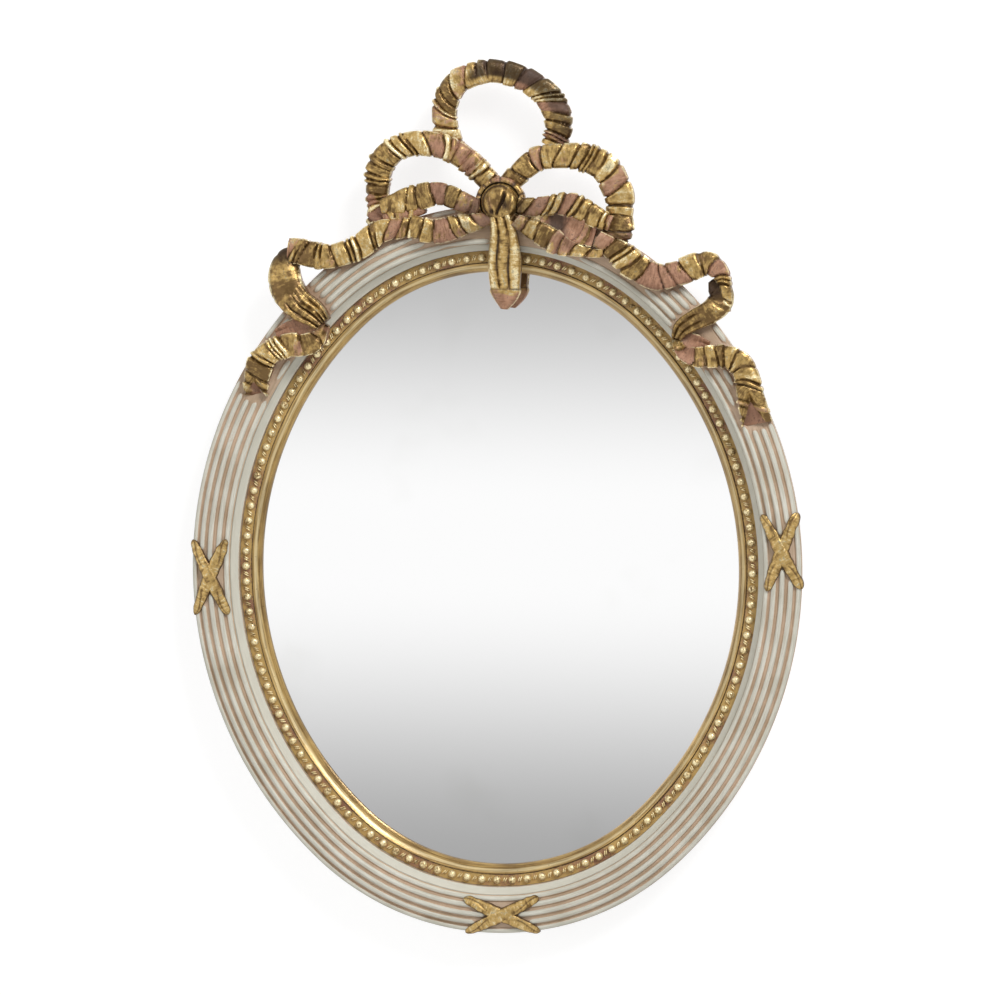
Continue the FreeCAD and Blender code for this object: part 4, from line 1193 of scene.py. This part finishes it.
@dataclass
class ReededFrame:
    """Four segments of the reeded moulding, with reeds that end in rounded tips beside the carving."""

    oval: Oval
    finishes: Finishes
    bow: RibbonCrest
    ties: CrossTies
    width: float = 53.0
    foot_inset: float = 3.0
    foot_chamfer: float = 2.0
    rebate_width: float = 8.0
    rebate_depth: float = 8.0
    liner_width: float = 17.2
    cove_foot: float = 21.5
    cove_depth: float = 0.9
    reed_start: float = 22.5
    reed_shoulder: float = 30.0
    reed_radius: float = 25.756
    reed_rise: float = 2.4
    reed_count: int = 5
    reed_share: float = 0.72
    tip_length: float = 4.5
    shortest: float = 16.0
    tie_clear: float = 13.0
    tie_spread: float = 8.5
    step: float = 1.5
    spots: tuple[float, ...] = (
        -1.0, -0.92, -0.84, -0.76, -0.66, -0.5, -0.26, 0.0, 0.26, 0.5, 0.66, 0.76, 0.84, 0.92)

    def cleared(self, x: Array, z: Array, reed: int, cover: Array, arc: Arc) -> Array:
        """How far a reed stands whole at each station.

        Args:
            x: x along the reed's middle.
            z: z along it.
            reed: Number of the reed from the sight side.
            cover: Rows of x, z, half width and room of the ribbons above.
            arc: Arc of the segment.

        Returns:
            1 where the reed is whole, 0 where it is carved away.
        """
        over_x, over_z, half, clear = cover.T
        gap = np.hypot(x[:, None] - over_x, z[:, None] - over_z) - half - clear
        room = (gap.min(axis=1) - 0.5) / self.tip_length
        beside = abs(reed - (self.reed_count - 1) / 2.0)
        for angle in self.ties.angles.values():
            tied, turned = self.oval.arc_for(angle)
            if tied == arc and beside < 1.5:
                x0, z0 = self.oval.point(angle, self.ties.middle)
                way = math.radians(turned + 90.0)
                run = np.abs((x - x0) * math.cos(way) + (z - z0) * math.sin(way))
                room = np.minimum(room, (run - self.tie_clear - self.tie_spread * beside) / self.tip_length)
        whole = np.clip(room, 0.0, 1.0)
        bounds = np.flatnonzero(np.diff(np.concatenate([[0], (whole > 0.0).astype(int), [0]])))
        for start, stop in zip(bounds[::2], bounds[1::2]):
            if (stop - start) * self.step < self.shortest and start > 0 and stop < len(whole):
                whole[start:stop] = 0.0
        return whole

    def segment(self, name: str, arc: Arc) -> Object:
        """One segment of the frame.

        Args:
            name: Name of its node.
            arc: Its arc of the oval.

        Returns:
            The piece.
        """
        cover = self.bow.cover()
        middle, height = self.ties.middle, self.ties.crown_height
        count = int(arc.length(middle) / self.step) + 1
        turn = np.radians(np.linspace(arc.first, arc.last, count))
        first, last = (
            math.atan2(self.reed_shoulder - height, offset - middle) for offset in (self.reed_start, self.width)
        )
        pitch = (first - last) / self.reed_count
        # crest is 1 along the top of the oval, where the bare grooves are painted narrower and the painted shade lines
        # stronger, as light falls there
        crest = ease(np.sin(turn), 0.42, 0.8)
        # Each column of the section: offset, height, bare ground, painted shade, cove (painted greyer as shade) and
        # bare back
        columns: list[tuple] = [
            (self.rebate_width, 0.0, 0, 0, 0, 1), (self.rebate_width, self.rebate_depth, 0, 0, 0, 1),
            (self.liner_width, self.rebate_depth, 0, 0, 0, 1), (self.liner_width, self.cove_foot - 1.2, 0.6, 0.7, 0, 0),
        ]
        head = (middle + self.reed_radius * math.cos(first), height + self.reed_radius * math.sin(first))
        for share in np.linspace(0.0, 1.0, 10):
            sag = self.cove_depth * 4.0 * share * (1.0 - share)
            columns.append((
                self.liner_width + (head[0] - self.liner_width) * share + sag * 0.8,
                self.cove_foot + (head[1] - self.cove_foot) * share - sag * 0.5,
                0.5 if share in (0.0, 1.0) else 0.0, 0.9 if share > 0.85 else 0.25 * (share < 0.1), 1.0, 0,
            ))
        for reed in range(self.reed_count):
            lie = first - (reed + 0.5) * pitch
            whole = self.cleared(*arc.at(middle + self.reed_radius * math.cos(lie), turn), reed, cover, arc)
            tip = np.sqrt(1.0 - (1.0 - whole) ** 2)
            for spot in self.spots + ((1.0,) if reed == self.reed_count - 1 else ()):
                inside = 1.0 - (spot / np.maximum(self.reed_share * (0.25 + 0.75 * tip), 0.05)) ** 2
                lift = np.sqrt(np.clip(inside, 0.0, 1.0)) * tip
                reach, lies = self.reed_radius + self.reed_rise * lift, lie - spot * pitch / 2.0
                columns.append((
                    middle + reach * math.cos(lies), height + reach * math.sin(lies),
                    1.0 - ease(lift, 0.4 - 0.26 * crest, 0.8 - 0.34 * crest),
                    (0.5 + 0.25 * crest) * bell(lift - 0.62 + 0.25 * crest, 0.16) * tip, 0, 0,
                ))
        for share in np.linspace(0.0, 1.0, 6)[1:]:
            columns.append((
                self.width - self.foot_inset * share,
                self.reed_shoulder + (self.foot_chamfer - self.reed_shoulder) * share,
                0.75 * share, 0.3, 0.35, 0.0 if share < 0.95 else 0.6,
            ))
        columns.append((self.width - self.foot_inset - self.foot_chamfer, 0.0, 0, 0, 0, 1))
        offset, h, ground, shade, cove, back = (
            np.stack([np.broadcast_to(value, count) for value in column], axis=1) for column in zip(*columns)
        )
        turn = turn[:, None]
        x, z = arc.at(offset, turn)
        shell = Shell(name + "_reeds")
        shell.grid(self.oval.row(x, h, z), {
            "ground": ground, "shade": shade, "cove": cove, "back": back,
            "lay": np.stack([turn * (arc.radius + middle) + 0.0 * h, offset, h], axis=-1),
        })
        return shell.finish(self.finishes.kept["painted_wood"], 40.0)

    def build(self) -> None:
        """Run all four segments over their nodes."""
        for name, arc in self.oval.arcs().items():
            dress(self.segment(name, arc), "painted_wood", name)


@dataclass
class SightSlip:
    """The gilded slip round the glass, its row of beads and the twisted links between them."""

    oval: Oval
    finishes: Finishes
    base: float = 8.0
    lip_edge: float = 2.0
    lip_width: float = 6.9
    lip_rise: float = 9.5
    lip_bulge: float = 1.2
    bed_depth: float = 8.2
    outer: float = 17.05
    bead_count: int = 116
    bead_radius: float = 3.4
    bead_offset: float = 12.05
    bead_height: float = 17.2
    link_height: float = 16.6
    link_phase: float = 0.065
    link_stretch: Place = (0.72, 1.5, 2.7)
    link_twist: Place = (0.0, 0.5, 0.0)
    smallest_bead: float = 0.94
    smallest_link: float = 0.85
    slip_step: float = 2.0

    def slip(self) -> Object:
        """The slip: rounded lip, quirk and bed.

        Returns:
            The piece.
        """
        # Each column of the section: offset, height, dark edge (painted shade), bed and ridge (painted highlight)
        columns = [(0.0, self.base, 0.6, 0.0, 0.0), (0.0, self.base + self.lip_edge * 0.6, 0.5, 0.0, 0.3)]
        for share in np.linspace(0.0, 1.0, 13):
            bulge = self.lip_bulge * 4.0 * share * (1.0 - share)
            columns.append((
                0.05 + self.lip_width * share - 0.55 * bulge,
                self.base + self.lip_edge + (self.lip_rise - self.lip_edge) * share + 0.6 * bulge,
                0.55 if share > 0.95 else 0.0, 0.0, 1.0 - abs(share - 0.7) * 1.6,
            ))
        bed = self.base + self.bed_depth
        quirk = self.lip_width + (self.lip_rise - self.bed_depth) / 2.0
        columns.append((quirk, bed, 0.85, 1.0, 0.0))
        for share in np.linspace(0.12, 0.92, 6):
            columns.append((quirk + (self.outer - quirk) * share, bed, 0.0, 1.0, 0.0))
        columns += [(self.outer, bed, 0.65, 1.0, 0.0), (self.outer, self.base, 0.0, 1.0, 0.0)]
        offset, h, edge, ground, ridge = (np.array(column)[None, :] for column in zip(*columns))
        grids, runs, so_far = [], [], 0.0
        for arc in self.oval.arcs().values():
            turn = np.radians(np.linspace(arc.first, arc.last, int(arc.length() / self.slip_step), endpoint=False))
            turn = turn[:, None]
            x, z = arc.at(offset, turn)
            grids.append(self.oval.row(x, h, z))
            runs.append(so_far + (turn - turn[0]) * arc.radius)
            so_far += arc.length()
        run = np.concatenate(runs)
        flat = np.ones_like(run)
        shell = Shell("sight_slip")
        shell.grid(np.concatenate(grids), {
            "edge": edge * flat, "bed": ground * flat, "ridge": np.clip(ridge, 0.0, 1.0) * flat,
            "lay": np.stack([run + 0.0 * offset, offset * flat, h * flat], axis=-1),
        }, ring=True)
        return shell.finish(self.finishes.slip, 35.0)

    def path(self, name: str, phase: float, height: float) -> Object:
        """A closed line along the bed that starts part of a bead's pitch on.

        Args:
            name: Name of the object.
            phase: Start, in pitches.
            height: Height above the frame's back.

        Returns:
            An object with a ring of edges.
        """
        arcs = list(self.oval.arcs().values())
        lengths = np.array([arc.length(self.bead_offset) for arc in arcs])
        ends, count = np.cumsum(lengths), self.bead_count * 12
        run = (phase * ends[-1] / self.bead_count + np.arange(count) * ends[-1] / count) % ends[-1]
        spot = np.searchsorted(ends, run)
        arc = Arc(*np.array([astuple(arc) for arc in arcs])[spot].T)
        turn = np.radians(arc.first) + (run - (ends - lengths)[spot]) / (arc.radius + self.bead_offset)
        x, z = arc.at(self.bead_offset, turn)
        mesh = bpy.data.meshes.new(name)
        edges = [(number, (number + 1) % count) for number in range(count)]
        mesh.from_pydata(self.oval.row(x, np.float64(height), z).tolist(), edges, [])
        return placed(name, mesh)

    def tree(self) -> bpy.types.NodeTree:
        """Geometry Nodes that string one turned shape along a line.

        Returns:
            The tree, with its sizes as named inputs.
        """
        ink = Ink("string_of_beads", "node_groups", "GeometryNodeTree")
        sizes = {
            "Line": "Geometry", "Count": "Int", "Radius": "Float", "Stretch": "Vector", "Twist": "Vector",
            "Smallest": "Float", "Finish": "Material",
        }
        for name, kind in sizes.items():
            ink.tree.interface.new_socket(name, in_out="INPUT", socket_type="NodeSocket" + kind)
        ink.tree.interface.new_socket("Beads", in_out="OUTPUT", socket_type="NodeSocketGeometry")
        given = ink.node("NodeGroupInput", {}, {}).outputs
        curve = ink.node("GeometryNodeMeshToCurve", {}, {"Mesh": given["Line"]})
        spaced = ink.node("GeometryNodeResampleCurve", {"mode": "COUNT"}, {"Curve": curve, "Count": given["Count"]})
        ball = ink.node("GeometryNodeMeshUVSphere", {}, {"Segments": 12, "Rings": 7, "Radius": given["Radius"]})
        turned = ink.node("GeometryNodeTransform", {}, {"Geometry": ball, "Scale": given["Stretch"]})
        tilted = ink.node("GeometryNodeTransform", {}, {"Geometry": turned, "Rotation": given["Twist"]})
        heading = ink.node("GeometryNodeInputTangent", {}, {})
        aligned = {"axis": "X", "pivot_axis": "Y"}
        facing = ink.node("FunctionNodeAlignRotationToVector", aligned, {"Vector": heading})
        limits = {2: given["Smallest"], 3: 1.0, "Seed": 5}
        uneven = ink.node("FunctionNodeRandomValue", {"data_type": "FLOAT"}, limits).outputs[1]
        strung = ink.node("GeometryNodeInstanceOnPoints", {}, {
            "Points": spaced, "Instance": tilted, "Rotation": facing, "Scale": uneven})
        real = ink.node("GeometryNodeRealizeInstances", {}, {"Geometry": strung})
        smooth = ink.node("GeometryNodeSetShadeSmooth", {}, {"Geometry": real})
        dressed = ink.node("GeometryNodeSetMaterial", {}, {"Geometry": smooth, "Material": given["Finish"]})
        ink.node("NodeGroupOutput", {}, {"Beads": dressed})
        return ink.tree

    def strung(self, tree: bpy.types.NodeTree, name: str, phase: float, height: float, **sizes: object) -> Object:
        """One run of beads or links as a plain mesh.

        Args:
            tree: The tree that strings them.
            name: Name of the piece.
            phase: Start, in pitches.
            height: Height of the line above the frame's back.
            **sizes: The tree's inputs for one bead: Radius, Stretch, Twist and Smallest.

        Returns:
            The piece.
        """
        line = self.path(name + "_line", phase, height)
        modifier = line.modifiers.new("string", "NODES")
        modifier.node_group = tree
        sizes.update(Count=self.bead_count, Finish=self.finishes.bead)
        for item in tree.interface.items_tree:
            if item.in_out == "INPUT" and item.name in sizes:
                modifier[item.identifier] = sizes[item.name]
        graph = bpy.context.evaluated_depsgraph_get()
        mesh = bpy.data.meshes.new_from_object(line.evaluated_get(graph), depsgraph=graph)
        mesh.name = name
        bpy.data.objects.remove(line)
        return placed(name, mesh)

    def build(self) -> None:
        """Run the slip, string the beads and set the links between them."""
        dress(self.slip(), "gilt_wood", "sight_liner")
        tree = self.tree()
        ball = {
            "Radius": self.bead_radius * MM, "Stretch": (1.0, 1.0, 1.0), "Twist": (0.0, 0.0, 0.0),
            "Smallest": self.smallest_bead,
        }
        dress(self.strung(tree, "bead_row", 0.5, self.bead_height, **ball), "gilt_wood", "beads")
        link = {
            "Radius": MM, "Stretch": self.link_stretch, "Twist": self.link_twist, "Smallest": self.smallest_link,
        }
        for name, phase in (("link_row_fore", -self.link_phase), ("link_row_aft", self.link_phase)):
            dress(self.strung(tree, name, phase, self.link_height, **link), "gilt_wood")


@dataclass
class KeptPieces:
    """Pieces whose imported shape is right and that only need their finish."""

    finishes: Finishes

    def build(self) -> None:
        """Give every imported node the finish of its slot, whether it shows or is replaced."""
        kept = self.finishes.kept
        for part in frame["record"]["subparts"]:
            node = frame["nodes"][part["node"]]
            finish = kept.get(part["node"], kept[part["material_slot"]])
            for spot in node.material_slots:
                spot.material = finish
            if not node.material_slots:
                node.data.materials.append(finish)
            LOG.info("kept %s: %s", node.name, finish.name)


@dataclass
class Studio:
    """A white wall behind the mirror, a pale floor, soft lights and the camera."""

    oval: Oval
    azimuth: float = 10.0
    distance: float = 4.0
    eye_height: float = 0.350
    span: float = 0.7952
    aim: Place = (-0.001, -0.017, 0.0577)
    sensor: float = 36.0
    floor_height: float = -1.85
    sheet_foot: float = -1.84
    ambient: float = 0.42
    wall_half: float = 20.0
    wall_top: float = 6.0
    wall_front: float = 0.0005
    wall_light: tuple[float, float] = (0.32, 0.81)
    floor_half: float = 30.0
    floor_light: tuple[float, float] = (0.36, 0.85)
    floor_matt: Colour = (0.8, 0.8, 0.79, 1.0)
    card_half: float = 6.0
    card_top: float = 2.5
    card_away: float = -6.0
    card_middle: float = -0.21
    card_fade: float = 1.2
    card_above: Colour = srgb(186, 186, 186)
    card_below: Colour = srgb(170, 170, 170)
    lamp_aim: Place = (0.0, 0.0, -0.25)
    lamps: tuple[tuple[str, Place, float, float], ...] = (
        ("key", (1.7, -2.3, 2.0), 1.1, 74.0), ("fill", (-2.2, -2.6, 0.4), 2.2, 16.0),
        ("rear", (0.6, 3.0, 1.6), 2.2, 30.0),
    )

    def camera(self) -> None:
        """Set up the camera at the photograph's angle."""
        data = bpy.data.cameras.new("camera")
        data.sensor_width = self.sensor
        data.lens = self.sensor * self.distance / self.span
        data.clip_end = 100.0
        data.dof.use_dof = False
        drop, turn = self.oval.drop * MM, math.radians(self.azimuth)
        target = Vector(self.aim) - Vector((0.0, 0.0, drop))
        eye = placed("camera", data)
        eye.location = (
            target.x + math.sin(turn) * self.distance, target.y - math.cos(turn) * self.distance,
            self.eye_height - drop,
        )
        eye.rotation_euler = (target - eye.location).to_track_quat("-Z", "Y").to_euler()
        bpy.context.scene.camera = eye

    def sheet(
        self, half: float, low: tuple[float, float], high: tuple[float, float], material: Material
    ) -> Object:
        """A flat sheet of the set, named after its finish.

        Args:
            half: Half its width along x.
            low: y and z of its first edge.
            high: y and z of its second edge.
            material: Its finish.

        Returns:
            The staged object.
        """
        mesh = bpy.data.meshes.new(material.name)
        mesh.from_pydata([(-half, *low), (half, *low), (half, *high), (-half, *high)], [], [(0, 1, 2, 3)])
        mesh.materials.append(material)
        sheet = placed(material.name, mesh)
        return sheet

    def lit(self, ink: Ink, grey: float, glow: float) -> bpy.types.Node:
        """Matt paint that is lifted towards white.

        Args:
            ink: The material's nodes.
            grey: Level of the paint.
            glow: How much it is lifted.

        Returns:
            The shader.
        """
        matt = ink.node("ShaderNodeBsdfDiffuse", {}, {"Color": (grey, grey, grey, 1.0)})
        lift = ink.node("ShaderNodeEmission", {}, {"Color": WHITE, "Strength": glow})
        return ink.node("ShaderNodeAddShader", {}, {0: matt, 1: lift})

    def wall_paint(self) -> Material:
        """White wall that keeps the shadow, seen from its front alone.

        Returns:
            The material.
        """
        ink = Ink("white_wall")
        clear = ink.node("ShaderNodeBsdfTransparent", {}, {})
        behind = ink.node("ShaderNodeNewGeometry", {}, {}).outputs["Backfacing"]
        paint = self.lit(ink, *self.wall_light)
        return ink.close(ink.node("ShaderNodeMixShader", {}, {0: behind, 1: paint, 2: clear}))

    def floor_paint(self) -> Material:
        """Pale floor, lifted to white for the camera, metal and glass.

        Returns:
            The material.
        """
        ink = Ink("pale_floor")
        matt = ink.node("ShaderNodeBsdfDiffuse", {}, {"Color": self.floor_matt})
        paint = self.lit(ink, *self.floor_light)
        return ink.close(ink.node("ShaderNodeMixShader", {}, {0: ink.seen(), 1: matt, 2: paint}))

    def card_paint(self) -> Material:
        """Card that the glass reflects: white in the middle, grey above and below.

        Returns:
            The material.
        """
        ink = Ink("reflection_card")
        height = ink.value("ShaderNodeSeparateXYZ", {}, {0: ink.place()}, "Z")
        share = (self.card_middle - height) / self.card_fade
        level = ink.coats(
            self.card_above, (share.ease(-0.05, 0.40), WHITE), (share.ease(0.52, 1.02), self.card_below))
        return ink.close(ink.node("ShaderNodeEmission", {}, {"Color": level, "Strength": 1.0}))

    def lamp(self, name: str, place: Place, size: float, power: float) -> None:
        """A square soft light aimed at the mirror.

        Args:
            name: Name of the light.
            place: Where it stands.
            size: Its edge in metres.
            power: Its power in watts.
        """
        data = bpy.data.lights.new(name, "AREA")
        data.size, data.energy = size, power
        lamp = placed(name, data)
        lamp.location = place
        aim = Vector(self.lamp_aim) - Vector(place)
        lamp.rotation_euler = aim.to_track_quat("-Z", "Y").to_euler()
        lamp.visible_camera = False

    def world(self) -> None:
        """White to the camera, metal and glass, and soft light to the rest."""
        ink = Ink("studio", "worlds")
        level = ink.coats((self.ambient, self.ambient, self.ambient, 1.0), (ink.seen(), WHITE))
        ink.node("ShaderNodeOutputWorld", {}, {0: ink.node("ShaderNodeBackground", {}, {0: level})})
        bpy.context.scene.world = ink.owner

    def build(self) -> None:
        """Set the whole studio."""
        self.camera()
        self.world()
        front, foot, away = self.wall_front, self.sheet_foot, self.card_away
        reach, floor = self.floor_half, self.floor_height
        wall = self.sheet(self.wall_half, (front, foot), (front, self.wall_top), self.wall_paint())
        wall.visible_shadow = wall.visible_diffuse = wall.visible_glossy = False
        self.sheet(reach, (-reach, floor), (reach, floor), self.floor_paint())
        card = self.sheet(self.card_half, (away, foot), (away, self.card_top), self.card_paint())
        card.visible_shadow = card.visible_diffuse = card.visible_camera = False
        for lamp in self.lamps:
            self.lamp(*lamp)
        bpy.context.scene.view_settings.view_transform = "Standard"


def main() -> None:
    """Build the mirror's pieces in order."""
    logging.basicConfig(level=logging.INFO, format="%(message)s")
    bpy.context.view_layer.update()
    oval = Oval()
    finishes = Finishes.mixed()
    crest = RibbonCrest(oval, finishes)
    ties = CrossTies(oval, finishes)
    KeptPieces(finishes).build()
    ReededFrame(oval, finishes, crest, ties).build()
    SightSlip(oval, finishes).build()
    ties.build()
    crest.build()
    Studio(oval).build()


if __name__ == "__main__":
    main()
